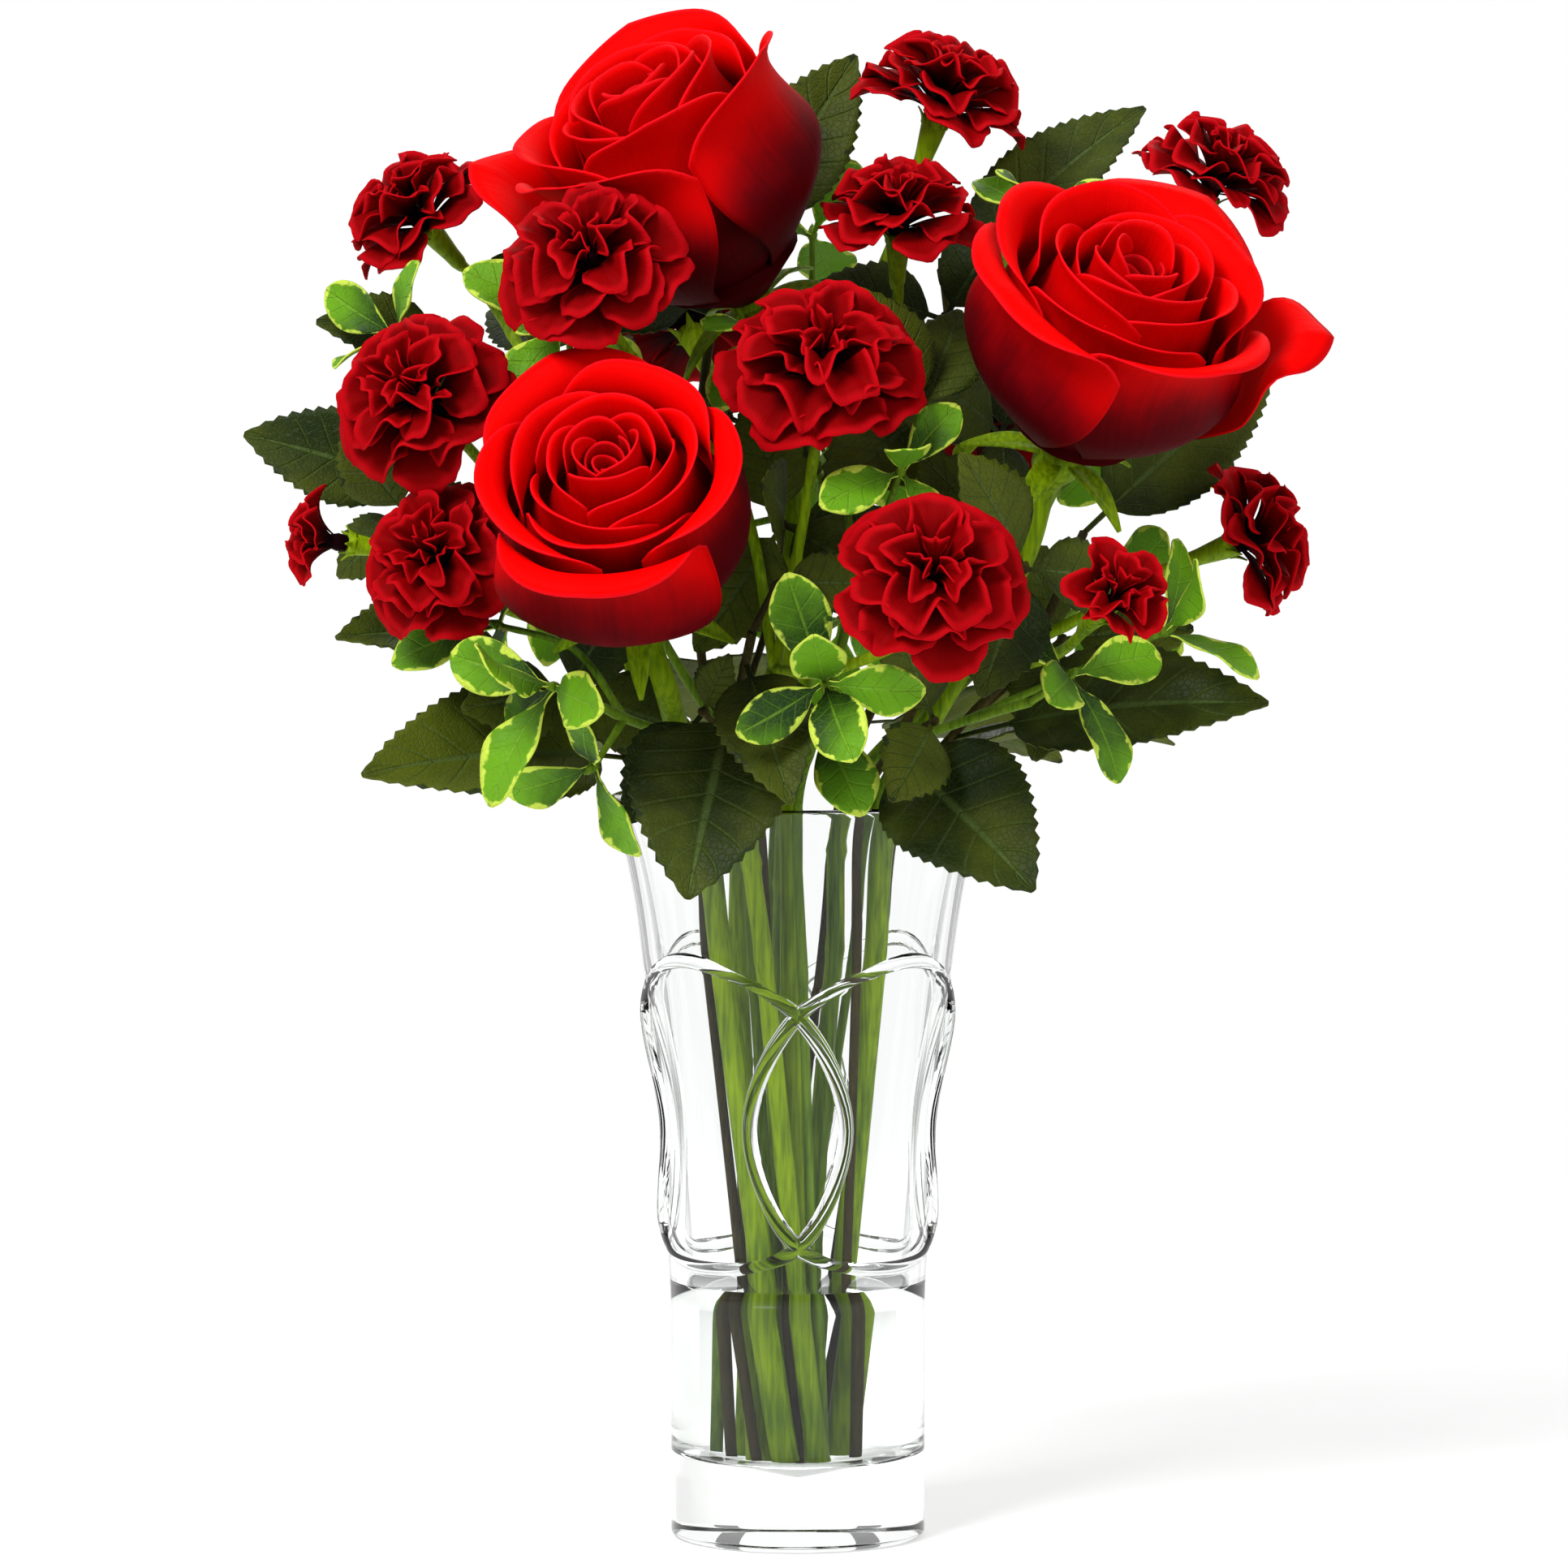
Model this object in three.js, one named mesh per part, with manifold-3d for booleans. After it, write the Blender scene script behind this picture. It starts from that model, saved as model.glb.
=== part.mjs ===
// A bouquet of three red roses and small red carnations, with toothed dark leaves and
// cream-edged leaves, standing in water in a clear glass vase with crossing raised ribs.
// Millimetres, +Z up. The origin is the middle of the vase's foot; the front faces -Y.
import * as THREE from "three";
import { mergeVertices } from "three/addons/utils/BufferGeometryUtils.js";
import Module from "manifold-3d";

const wasm = await Module();
wasm.setup();
const { Vector2, Vector3, Matrix4 } = THREE;
const RADIANS = Math.PI / 180;
const GOLDEN_TURN = 137.508 * RADIANS;
const CLEARANCE = 0.3;

// Vase
const VASE_HEIGHT = 202;
const FOOT_RADIUS = 34.6;
const FLARE_START = 60;
const BODY_FLARE = 12.4;
const RIM_FLARE = 5;
const WALL_AT_FOOT = 5.2;
const WALL_THINNING = 2;
const FLOOR_HEIGHT = 22;
const DISH_RADIUS = 20;
const DISH_DEPTH = 5;
const CORNER_RADIUS = 5;
const VASE_SIDES = 20;
const WATER_LEVEL = 70;
const RIB_RADIUS = 2.2;
const RIB_SUNK = 0.3;
const RIB_LOOPS = 4;
const RIM_ROUNDING = 1;
// One rib loop as degrees round the vase and height, from one crossing round to it again.
const RIB_ROUTE = [
  [0, 146],
  [-45, 160],
  [-90, 146],
  [-110, 115],
  [-90, 83],
  [-45, 76],
  [0, 83],
  [20, 115],
];

// Stems stand in the vase as a loose twisted bundle: slots are places at the neck.
const NECK_HEIGHT = 200;
const BUNDLE_TWIST = 60 * RADIANS;
const BUNDLE_PINCH = 0.45;
const ROSE_STEM = 3.2;
const SPRAY_STEM = 2.5;
const STALK = 1.5;
const WOODY_STEM = 1.3;
const TWIG = 1;
const WHORL_MIDDLE = 1.8;
const LEAF_THICKNESS = 0.8;
// Where solids are joined, corners closer to a face than this are left out.
const JOIN_TOLERANCE = 0.11;

// Roses: where each head sits on its stem, which way it looks, how it is scaled, and how wide its
// outer petals stand at their rim, as a share of their belly.
const ROSE_HEIGHT = 68;
const ROSE_BELLY = 38;
const ROSE_HEART = 12;
const ROSE_PETAL_WIDTH = 60;
const ROSE_PETALS = 8;
const STRAY = 9;
const SEPAL_TURNS = [0, 72, 144, 216, 288].map((degrees) => (degrees * Math.PI) / 180);
const ROSES = [
  {
    name: "rose_top",
    slot: [-2, 1],
    route: [[-3, 2, 250], [-2, 15, 305]],
    base: [-13, 11, 337],
    axis: [-0.45, -0.36, 0.82],
    scale: 1.14,
    roll: 250,
    open: 1,
    stray: 322,
  },
  {
    name: "rose_right",
    slot: [25, -6],
    route: [[46, -3, 240], [62, -8, 270]],
    base: [71, -17, 297],
    axis: [0.3, -0.55, 0.78],
    scale: 1.07,
    roll: 150,
    open: 1.08,
    stray: 190,
  },
  {
    name: "rose_left",
    slot: [-26, -8],
    route: [[-32, -20, 220], [-36, -34, 236]],
    base: [-42, -45, 257],
    axis: [-0.13, -0.74, 0.66],
    scale: 1.05,
    roll: 275,
    open: 0.97,
  },
];

// Carnation sprays: each trunk rises from its slot, and each stalk ends in one bloom.
const CARNATION_RADIUS = 24;
const CARNATION_CALYX = 16;
const CARNATION_WAIST = 2.8;
const CARNATION_PETALS = 5;
const PETAL_EDGE = 0.9;
// Along a petal's edge: how far out each point is, and how many degrees it is ruffled up or down.
const WIDE_NOTES = [[0.8, 0], [1, 8], [0.94, -8], [1, 7]];
const CLOSE_NOTES = [[0.76, -6], [1, 9], [0.9, -8]];
const CARNATION_RINGS = [
  { height: 0.6, lift: 8, reach: 1, turn: 0, notes: WIDE_NOTES },
  { height: 3.4, lift: 36, reach: 0.95, turn: 0.9, notes: WIDE_NOTES },
  { height: 6.4, lift: 64, reach: 0.78, turn: 1.9, notes: CLOSE_NOTES },
];
const CARNATION_SPRAYS = [
  {
    name: "carnation_spray_front",
    slot: [-13, -19],
    trunk: [[-6, -33, 238]],
    blooms: [
      {
        name: "carnation_front",
        via: [[12, -62, 241]],
        base: [34, -92, 263],
        axis: [0.1, -0.85, 0.5],
        scale: 1.06,
      },
      {
        name: "carnation_centre",
        via: [[0, -31, 270]],
        base: [6, -57, 316],
        axis: [0.05, -0.72, 0.69],
        scale: 1.14,
      },
      {
        name: "carnation_under_rose",
        via: [[-16, -22, 285]],
        base: [-53, -51, 343],
        axis: [-0.2, -0.72, 0.66],
        scale: 1.06,
      },
    ],
  },
  {
    name: "carnation_spray_right",
    slot: [14, 14],
    trunk: [[46, 14, 234]],
    blooms: [
      {
        name: "carnation_small",
        via: [[60, -14, 238]],
        base: [80, -64, 256],
        axis: [0.35, -0.8, 0.45],
        scale: 0.84,
        rings: [1, 2],
      },
      {
        name: "carnation_far_right",
        via: [[76, 12, 249]],
        base: [118, 2, 270],
        axis: [0.92, -0.15, 0.35],
        scale: 0.9,
      },
      {
        name: "carnation_high_right",
        via: [[66, 26, 275], [84, 32, 315]],
        base: [112, 31, 364],
        axis: [0.4, -0.2, 0.9],
        scale: 0.94,
      },
    ],
  },
  {
    name: "carnation_spray_left",
    slot: [-19, 10],
    trunk: [[-46, 8, 238]],
    blooms: [
      {
        name: "carnation_low_left",
        via: [[-66, -4, 248]],
        base: [-93, -38, 266],
        axis: [-0.35, -0.82, 0.4],
        scale: 0.93,
      },
      {
        name: "carnation_bud",
        via: [[-80, 5, 254]],
        base: [-121, -14, 271],
        axis: [-0.93, -0.2, 0.15],
        scale: 0.72,
        rings: [1, 2],
      },
      {
        name: "carnation_mid_left",
        via: [[-64, 8, 266]],
        base: [-98, -30, 308],
        axis: [-0.4, -0.78, 0.48],
        scale: 1.05,
      },
      {
        name: "carnation_high_left",
        via: [[-60, 20, 285], [-72, 24, 315]],
        base: [-101, 28, 355],
        axis: [-0.62, -0.3, 0.72],
        scale: 0.9,
      },
    ],
  },
  {
    name: "carnation_spray_back",
    slot: [-3, 24],
    trunk: [[4, 30, 245], [8, 30, 285]],
    blooms: [
      {
        name: "carnation_top",
        via: [[18, 38, 330]],
        base: [38, 36, 385],
        axis: [0.3, -0.18, 0.93],
        scale: 1.0,
      },
      {
        name: "carnation_between",
        via: [[20, 18, 312]],
        base: [27, -8, 354],
        axis: [0.02, -0.3, 0.95],
        scale: 0.92,
      },
      {
        name: "carnation_back_left",
        via: [[-8, 52, 300]],
        base: [-30, 76, 325],
        axis: [-0.3, 0.72, 0.62],
        scale: 0.98,
      },
      {
        name: "carnation_back_right",
        via: [[26, 54, 285]],
        base: [50, 82, 298],
        axis: [0.35, 0.8, 0.48],
        scale: 0.94,
      },
    ],
  },
];

// Leaf sprays. A single leaf leaves the trunk at a share of its free length. A whorl's leaves fan
// round its axis from the end of a twig, which leaves the trunk at one of its points.
const LEAF_SPRAYS = [
  {
    name: "dark_leaves_front_left",
    kind: "dark",
    slot: [-11, -8],
    trunk: [[-19, -27, 219], [-15, -48, 236], [-12, -58, 250]],
    leaves: [
      { at: 0.55, tip: [-29, -78, 181], width: 44, face: [-0.1, -0.95, 0.3] },
      { at: 0.8, tip: [0, -70, 197], width: 26, face: [0, -0.95, 0.2] },
    ],
    whorls: [
      { from: 2, via: [], end: [-6, -56, 262], axis: [0.5, -0.7, 0.5], leaves: 4, length: 34 },
      { from: 0, via: [], end: [-25, -46, 228], axis: [-0.3, -0.95, 0.1], leaves: 4, length: 36 },
      {
        from: 0,
        via: [[-8, -14, 250]],
        end: [-4, -14, 276],
        axis: [0.1, -0.9, 0.3],
        leaves: 6,
        length: 42,
      },
    ],
  },
  {
    name: "dark_leaves_front_right",
    kind: "dark",
    slot: [17, -20],
    trunk: [[26, -38, 219], [36, -46, 238], [50, -44, 256]],
    leaves: [{ at: 0.3, tip: [62, -76, 183], width: 40, face: [0.1, -0.95, 0.3] }],
    whorls: [
      { from: 2, via: [], end: [60, -46, 266], axis: [0.15, -0.8, 0.5], leaves: 5, length: 42 },
      {
        from: 1,
        via: [[34, -30, 272]],
        end: [34, -14, 306],
        axis: [0.1, -0.7, 0.6],
        leaves: 5,
        length: 42,
      },
      { from: 0, via: [], end: [36, -52, 226], axis: [0.2, -0.95, 0.1], leaves: 4, length: 36 },
    ],
  },
  {
    name: "dark_leaves_right",
    kind: "dark",
    slot: [29, 10],
    trunk: [[44, 5, 220], [62, 2, 240], [78, 22, 272]],
    leaves: [
      { at: 0.28, tip: [126, -28, 229], width: 36, face: [0.1, -0.75, 0.65] },
      { at: 0.2, tip: [104, 50, 212], width: 32, face: [0.3, 0.3, 0.9] },
      { at: 1, tip: [137, 33, 306], width: 32, face: [0, -0.9, 0.45] },
    ],
    whorls: [{ from: 0, via: [], end: [72, 20, 243], axis: [0.2, -0.9, 0.3], leaves: 5, length: 42 }],
  },
  {
    name: "dark_leaves_left",
    kind: "dark",
    slot: [-30, 6],
    trunk: [[-50, 0, 216], [-76, 6, 236], [-98, 16, 262], [-101, 25, 294], [-95, 28, 324]],
    leaves: [
      { at: 0.15, tip: [-116, -44, 211], width: 40, face: [-0.1, -0.8, 0.6] },
      { at: 0.2, tip: [-104, 50, 210], width: 32, face: [-0.3, 0.3, 0.9] },
      { at: 0.45, tip: [-124, -20, 246], width: 24, face: [-0.1, -0.7, 0.7] },
      { at: 0.74, tip: [-151, 21, 299], width: 27, face: [0, -0.95, 0.3] },
      { at: 1, tip: [-127, 22, 343], width: 19, face: [-0.2, -0.9, 0.4] },
    ],
    whorls: [
      { from: 2, via: [], end: [-106, 6, 278], axis: [-0.3, -0.9, 0.1], leaves: 4, length: 34 },
      { from: 0, via: [], end: [-62, -8, 230], axis: [-0.2, -0.95, 0.2], leaves: 5, length: 38 },
    ],
  },
  {
    name: "dark_leaves_back_left",
    kind: "dark",
    slot: [-18, 25],
    trunk: [[-26, 44, 232], [-28, 52, 275], [-24, 50, 325], [-16, 46, 350]],
    leaves: [
      { at: 0.15, tip: [-76, 92, 202], width: 36, face: [-0.3, 0.7, 0.6] },
      { at: 0.28, tip: [-22, 112, 208], width: 36, face: [0, 0.8, 0.5] },
      { at: 0.8, tip: [-84, 34, 346], width: 30, face: [-0.3, -0.8, 0.4] },
      { at: 1, tip: [16, 60, 402], width: 28, face: [0.1, -0.95, 0.2] },
    ],
    whorls: [
      {
        from: 1,
        via: [[-44, 40, 300]],
        end: [-58, 30, 322],
        axis: [-0.4, -0.3, 0.8],
        leaves: 4,
        length: 40,
      },
      {
        from: 1,
        via: [[-20, 32, 294]],
        end: [-19, 14, 304],
        axis: [0.1, -0.9, 0.3],
        leaves: 5,
        length: 42,
      },
    ],
  },
  {
    name: "dark_leaves_back_right",
    kind: "dark",
    slot: [12, 31],
    trunk: [[24, 48, 232], [36, 56, 275], [42, 54, 318], [40, 46, 344]],
    leaves: [
      { at: 0.15, tip: [74, 90, 204], width: 36, face: [0.3, 0.7, 0.6] },
      { at: 0.7, tip: [98, 76, 330], width: 30, face: [0.4, 0.6, 0.6] },
      { at: 0.95, tip: [85, 34, 397], width: 27, face: [-0.3, -0.85, 0.4] },
    ],
    whorls: [
      { from: 1, via: [], end: [56, 34, 298], axis: [0.3, -0.8, 0.4], leaves: 5, length: 42 },
      { from: 2, via: [], end: [40, 24, 330], axis: [-0.1, -0.8, 0.5], leaves: 5, length: 40 },
    ],
  },
  {
    name: "cream_leaves_front_left",
    kind: "cream",
    slot: [-15.5, -1.5],
    trunk: [[-30, -24, 218], [-46, -42, 226], [-54, -54, 231]],
    leaves: [],
    whorls: [
      { from: 2, via: [], end: [-64, -66, 236], axis: [-0.7, -0.65, 0.15], leaves: 7, length: 36 },
      { from: 1, via: [], end: [-54, -52, 214], axis: [-0.6, -0.6, -0.5], leaves: 3, length: 27 },
      {
        from: 1,
        via: [[-60, -34, 244]],
        end: [-80, -30, 250],
        axis: [-0.7, -0.6, 0.3],
        leaves: 6,
        length: 33,
      },
    ],
  },
  {
    name: "cream_leaves_front_middle",
    kind: "cream",
    slot: [0, -14],
    trunk: [[5, -38, 221], [8, -56, 226]],
    leaves: [{ at: 0.7, tip: [17, -66, 202], width: 17, face: [0.1, -0.95, 0.2] }],
    whorls: [
      { from: 1, via: [], end: [7, -78, 238], axis: [0, -0.93, -0.2], leaves: 6, length: 32 },
      {
        from: 0,
        via: [[17, -40, 262]],
        end: [27, -58, 292],
        axis: [0.1, -0.8, 0.5],
        leaves: 5,
        length: 28,
      },
      {
        from: 0,
        via: [[14, -34, 262], [9, -18, 298]],
        end: [-10, -22, 328],
        axis: [-0.2, -0.6, 0.7],
        leaves: 5,
        length: 28,
      },
    ],
  },
  {
    name: "cream_leaves_right",
    kind: "cream",
    slot: [12, 1],
    trunk: [[22, -14, 214], [44, -28, 224], [62, -38, 230]],
    leaves: [],
    whorls: [
      { from: 2, via: [], end: [72, -50, 238], axis: [0.6, -0.6, 0.5], leaves: 6, length: 34 },
      {
        from: 1,
        via: [[72, -24, 236]],
        end: [98, -28, 248],
        axis: [0.8, -0.4, 0.4],
        leaves: 5,
        length: 33,
      },
    ],
  },
  {
    name: "cream_leaves_left",
    kind: "cream",
    slot: [-5, 12],
    trunk: [[-24, 24, 222], [-46, 27, 260], [-60, 6, 302]],
    leaves: [],
    whorls: [
      { from: 2, via: [], end: [-62, -6, 330], axis: [-0.1, -0.75, 0.6], leaves: 6, length: 32 },
      {
        from: 2,
        via: [[-82, 5, 318]],
        end: [-108, 4, 326],
        axis: [-0.8, -0.45, 0.3],
        leaves: 5,
        length: 28,
      },
      { from: 1, via: [], end: [-74, 44, 272], axis: [-0.7, 0.6, 0.2], leaves: 6, length: 34 },
    ],
  },
  {
    name: "cream_leaves_back_right",
    kind: "cream",
    slot: [22, 26],
    trunk: [[48, 40, 236], [64, 48, 275], [70, 44, 318]],
    leaves: [],
    whorls: [
      { from: 0, via: [], end: [80, 62, 250], axis: [0.7, 0.65, 0], leaves: 5, length: 35 },
      { from: 1, via: [], end: [88, 66, 296], axis: [0.6, 0.7, 0.3], leaves: 5, length: 34 },
      { from: 2, via: [], end: [66, 20, 356], axis: [0.1, -0.5, 0.85], leaves: 5, length: 29 },
    ],
  },
  {
    name: "cream_leaves_back",
    kind: "cream",
    slot: [-6, 37],
    trunk: [[-4, 58, 236], [0, 68, 275], [4, 62, 325]],
    leaves: [],
    whorls: [
      { from: 0, via: [], end: [12, 88, 244], axis: [0.1, 0.95, 0], leaves: 5, length: 35 },
      { from: 1, via: [], end: [8, 94, 290], axis: [0.1, 0.9, 0.4], leaves: 6, length: 34 },
      { from: 2, via: [], end: [4, 68, 352], axis: [0, 0.6, 0.8], leaves: 5, length: 33 },
      {
        from: 1,
        via: [[-30, 72, 268]],
        end: [-58, 74, 262],
        axis: [-0.6, 0.75, 0.2],
        leaves: 5,
        length: 34,
      },
    ],
  },
];

// A leaf that would touch something tries these turns, in degrees: across its face, and up or down.
const BENDS = [
  [0, 0], [10, 0], [-10, 0], [0, 10], [0, -10], [12, 12], [-12, 12], [12, -12], [-12, -12],
  [22, 0], [-22, 0], [0, 22], [0, -22], [24, 16], [-24, 16], [24, -16], [-24, -16],
  [36, 0], [-36, 0], [0, 36], [0, -36], [40, 24], [-40, 24], [40, -24], [-40, -24],
];

const vec = (p) => new Vector3(...p);
const clamp = (x, low, high) => Math.min(high, Math.max(low, x));
const smooth = (x) => {
  const t = clamp(x, 0, 1);
  return t * t * (3 - 2 * t);
};

/** A closed geometry as a solid, turned the right way out. */
function solidOf(geometry) {
  const bare = (geometry.index ? geometry.toNonIndexed() : geometry.clone())
    .deleteAttribute("normal")
    .deleteAttribute("uv");
  const merged = mergeVertices(bare, 1e-3);
  const index = merged.index.array;
  const kept = [];
  for (let i = 0; i < index.length; i += 3) {
    const [a, b, c] = [index[i], index[i + 1], index[i + 2]];
    if (a !== b && b !== c && c !== a) kept.push(a, b, c);
  }
  const build = (triVerts) =>
    new wasm.Manifold(
      new wasm.Mesh({ numProp: 3, vertProperties: merged.attributes.position.array, triVerts }),
    );
  const solid = build(new Uint32Array(kept));
  return solid.volume() >= 0 ? solid : build(new Uint32Array(kept).reverse());
}

/** A solid as a geometry with flat faces. */
function geometryOf(solid) {
  const { numProp, numVert, vertProperties, triVerts } = solid.getMesh();
  const positions = new Float32Array(numVert * 3);
  for (let i = 0; i < numVert; i++) {
    positions.set(vertProperties.subarray(i * numProp, i * numProp + 3), i * 3);
  }
  const geometry = new THREE.BufferGeometry()
    .setAttribute("position", new THREE.BufferAttribute(positions, 3))
    .setIndex(new THREE.BufferAttribute(new Uint32Array(triVerts), 1));
  geometry.computeVertexNormals();
  return geometry;
}

const join = (solids) => solids.reduce((whole, solid) => whole.add(solid));

/** Axes for something that looks along `axis`: local Z is the axis, turned by `roll` degrees. */
function looking(base, axis, roll = 0) {
  const z = vec(axis).normalize();
  const x = new Vector3(0, 0, 1).cross(z).normalize();
  const y = z.clone().cross(x);
  return new Matrix4()
    .makeBasis(x, y, z)
    .setPosition(vec(base))
    .multiply(new Matrix4().makeRotationZ(roll * RADIANS));
}

/** A smooth curve that spends its share of rings on each stretch between two points. */
class Route extends THREE.CatmullRomCurve3 {
  constructor(points, rings) {
    super(points);
    this.stations = [0];
    rings.forEach((count, i) => {
      for (let k = 1; k <= count; k++) this.stations.push((i + k / count) / rings.length);
    });
  }

  getUtoTmapping(u) {
    const place = u * (this.stations.length - 1);
    const i = Math.min(Math.floor(place), this.stations.length - 2);
    return this.stations[i] + (place - i) * (this.stations[i + 1] - this.stations[i]);
  }
}

/** A round tube through the points, with rings[i] steps on its stretch i. */
function tube(points, radius, sides, rings) {
  const section = new THREE.Shape(
    Array.from({ length: sides }, (_, i) => {
      const turn = (i / sides) * 2 * Math.PI;
      return new Vector2(radius * Math.cos(turn), radius * Math.sin(turn));
    }),
  );
  const extrudePath = new Route(points, rings);
  const steps = extrudePath.stations.length - 1;
  return solidOf(new THREE.ExtrudeGeometry(section, { steps, extrudePath }));
}

/** A stem from its foot in the vase, through its neck, to the points above. */
function stemTube(slot, radius, above, sides) {
  return tube([...stemInVase(slot, radius), ...above], radius, sides, [1, 1, ...above.map(() => 2)]);
}

/** A round body about Z from a profile of [radius, height] that starts and ends on the axis. */
function turned(profile, sides) {
  return solidOf(
    new THREE.LatheGeometry(profile.map(([r, z]) => new Vector2(r, z)), sides).rotateX(Math.PI / 2),
  );
}

/**
 * A thin blade: place(u, v) is its middle surface, u from -1 to 1 across and v from 0 to 1 along.
 * Both faces share one pattern of triangles, half the thickness either side.
 */
function blade(columns, rows, thickness, place) {
  const step = 0.02;
  const faces = [];
  const corners = [];
  for (const side of [1, -1]) {
    for (let j = 0; j <= rows; j++) {
      for (let i = 0; i <= columns; i++) {
        const u = (2 * i) / columns - 1;
        const v = j / rows;
        const across = place(Math.min(1, u + step), v).sub(place(Math.max(-1, u - step), v));
        const along = place(u, Math.min(1, v + step)).sub(place(u, Math.max(0, v - step)));
        const normal = across.cross(along).normalize();
        corners.push(place(u, v).addScaledVector(normal, (side * thickness) / 2));
      }
    }
  }
  const width = columns + 1;
  const under = width * (rows + 1);
  const at = (i, j) => j * width + i;
  for (let j = 0; j < rows; j++) {
    for (let i = 0; i < columns; i++) {
      const [a, b, c, d] = [at(i, j), at(i + 1, j), at(i + 1, j + 1), at(i, j + 1)];
      const halves = (i + j) % 2 ? [[a, b, c], [a, c, d]] : [[a, b, d], [b, c, d]];
      for (const [p, q, r] of halves) faces.push(p, q, r, under + p, under + r, under + q);
    }
  }
  const edge = [];
  for (let i = 0; i < columns; i++) edge.push(at(i, 0));
  for (let j = 0; j < rows; j++) edge.push(at(columns, j));
  for (let i = columns; i > 0; i--) edge.push(at(i, rows));
  for (let j = rows; j > 0; j--) edge.push(at(0, j));
  edge.forEach((p, k) => {
    const q = edge[(k + 1) % edge.length];
    faces.push(p, under + p, q, q, under + p, under + q);
  });
  const geometry = new THREE.BufferGeometry().setFromPoints(corners);
  geometry.setIndex(faces);
  return solidOf(geometry);
}

/** The vase's outer radius at a height. */
function vaseRadius(z) {
  const t = clamp((z - FLARE_START) / (VASE_HEIGHT - FLARE_START), 0, 1);
  return FOOT_RADIUS + BODY_FLARE * t ** 1.4 + RIM_FLARE * t ** 9;
}

/** The radius of the vase's hollow at a height above its floor. */
function hollowRadius(z) {
  return vaseRadius(z) - WALL_AT_FOOT + (WALL_THINNING * z) / VASE_HEIGHT;
}

/** The height of the vase's dished floor at a distance from its middle. */
function floorHeight(r) {
  return FLOOR_HEIGHT - DISH_DEPTH * (1 - clamp(r / DISH_RADIUS, 0, 1));
}

/** The hollow's profile up to the water's level, moved inward by `gap`. */
function bowlProfile(gap) {
  const corner = FLOOR_HEIGHT + CORNER_RADIUS;
  const middle = hollowRadius(corner) - CORNER_RADIUS;
  const bend = [0, 45, 90].map((degrees) => [
    middle + (CORNER_RADIUS - gap) * Math.sin(degrees * RADIANS),
    corner - (CORNER_RADIUS - gap) * Math.cos(degrees * RADIANS),
  ]);
  const floor = [[0, floorHeight(0) + gap], [DISH_RADIUS, FLOOR_HEIGHT + gap]];
  const wall = [[hollowRadius(WATER_LEVEL) - gap, WATER_LEVEL]];
  return [...floor, ...bend, ...wall];
}

/** One rib loop, half sunk in the vase's wall; its ends meet under the next loop. */
function ribLoop(turn) {
  const overlap = 1.5;
  const [start] = RIB_ROUTE;
  const route = [...RIB_ROUTE, [start[0] - overlap, start[1] + overlap / 2]];
  const points = route.map(([degrees, z]) => {
    const angle = degrees * RADIANS + turn - Math.PI / 2;
    const r = vaseRadius(z) - RIB_SUNK;
    return new Vector3(r * Math.cos(angle), r * Math.sin(angle), z);
  });
  return tube(points, RIB_RADIUS, 4, [2, 3, 2, 1, 2, 3, 2, 1]);
}

function makeVase() {
  const foot = [[0, 0], [FOOT_RADIUS - 1.5, 0], [FOOT_RADIUS, 1.5]];
  const outside = [FLARE_START, 112, 156, 184].map((z) => [vaseRadius(z), z]);
  const top = VASE_HEIGHT - RIM_ROUNDING;
  const rim = [
    [vaseRadius(top), top],
    [vaseRadius(VASE_HEIGHT) - RIM_ROUNDING, VASE_HEIGHT],
    [hollowRadius(VASE_HEIGHT) + RIM_ROUNDING / 2, VASE_HEIGHT],
    [hollowRadius(top), top],
  ];
  const inside = [184, 156, 112].map((z) => [hollowRadius(z), z]);
  const body = turned([...foot, ...outside, ...rim, ...inside, ...bowlProfile(0).reverse()], VASE_SIDES);
  const ribs = Array.from({ length: RIB_LOOPS }, (_, i) => ribLoop((i / RIB_LOOPS) * 2 * Math.PI));
  return join([body, ...ribs]);
}

/** Where a stem in this slot stands on the vase's floor. */
function stemFoot([x, y], radius) {
  const c = BUNDLE_PINCH * Math.cos(BUNDLE_TWIST);
  const s = BUNDLE_PINCH * Math.sin(BUNDLE_TWIST);
  const foot = new Vector3(c * x - s * y, s * x + c * y, 0);
  foot.z = floorHeight(foot.length()) + CLEARANCE + 0.35 * radius;
  return foot;
}

/** The straight part of a stem inside the vase: foot, a point below the neck, and neck. */
function stemInVase(slot, radius) {
  const foot = stemFoot(slot, radius);
  const neck = new Vector3(slot[0], slot[1], NECK_HEIGHT);
  return [0, 0.75, 1].map((t) => foot.clone().lerp(neck, t));
}

/** The water, with a plain hole for each stem. */
function makeWater(stems) {
  const body = turned([...bowlProfile(CLEARANCE), [0, WATER_LEVEL]], VASE_SIDES);
  const holes = stems.map(({ slot, radius }) => {
    const sides = radius > WOODY_STEM ? 5 : 4;
    const [foot, , neck] = stemInVase(slot, radius);
    const below = foot.clone().lerp(neck, -0.04);
    const across = (radius + CLEARANCE) / Math.cos(Math.PI / sides);
    return tube([below, foot.clone().lerp(neck, 0.5)], across, sides, [1]);
  });
  return body.subtract(join(holes));
}

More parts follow.
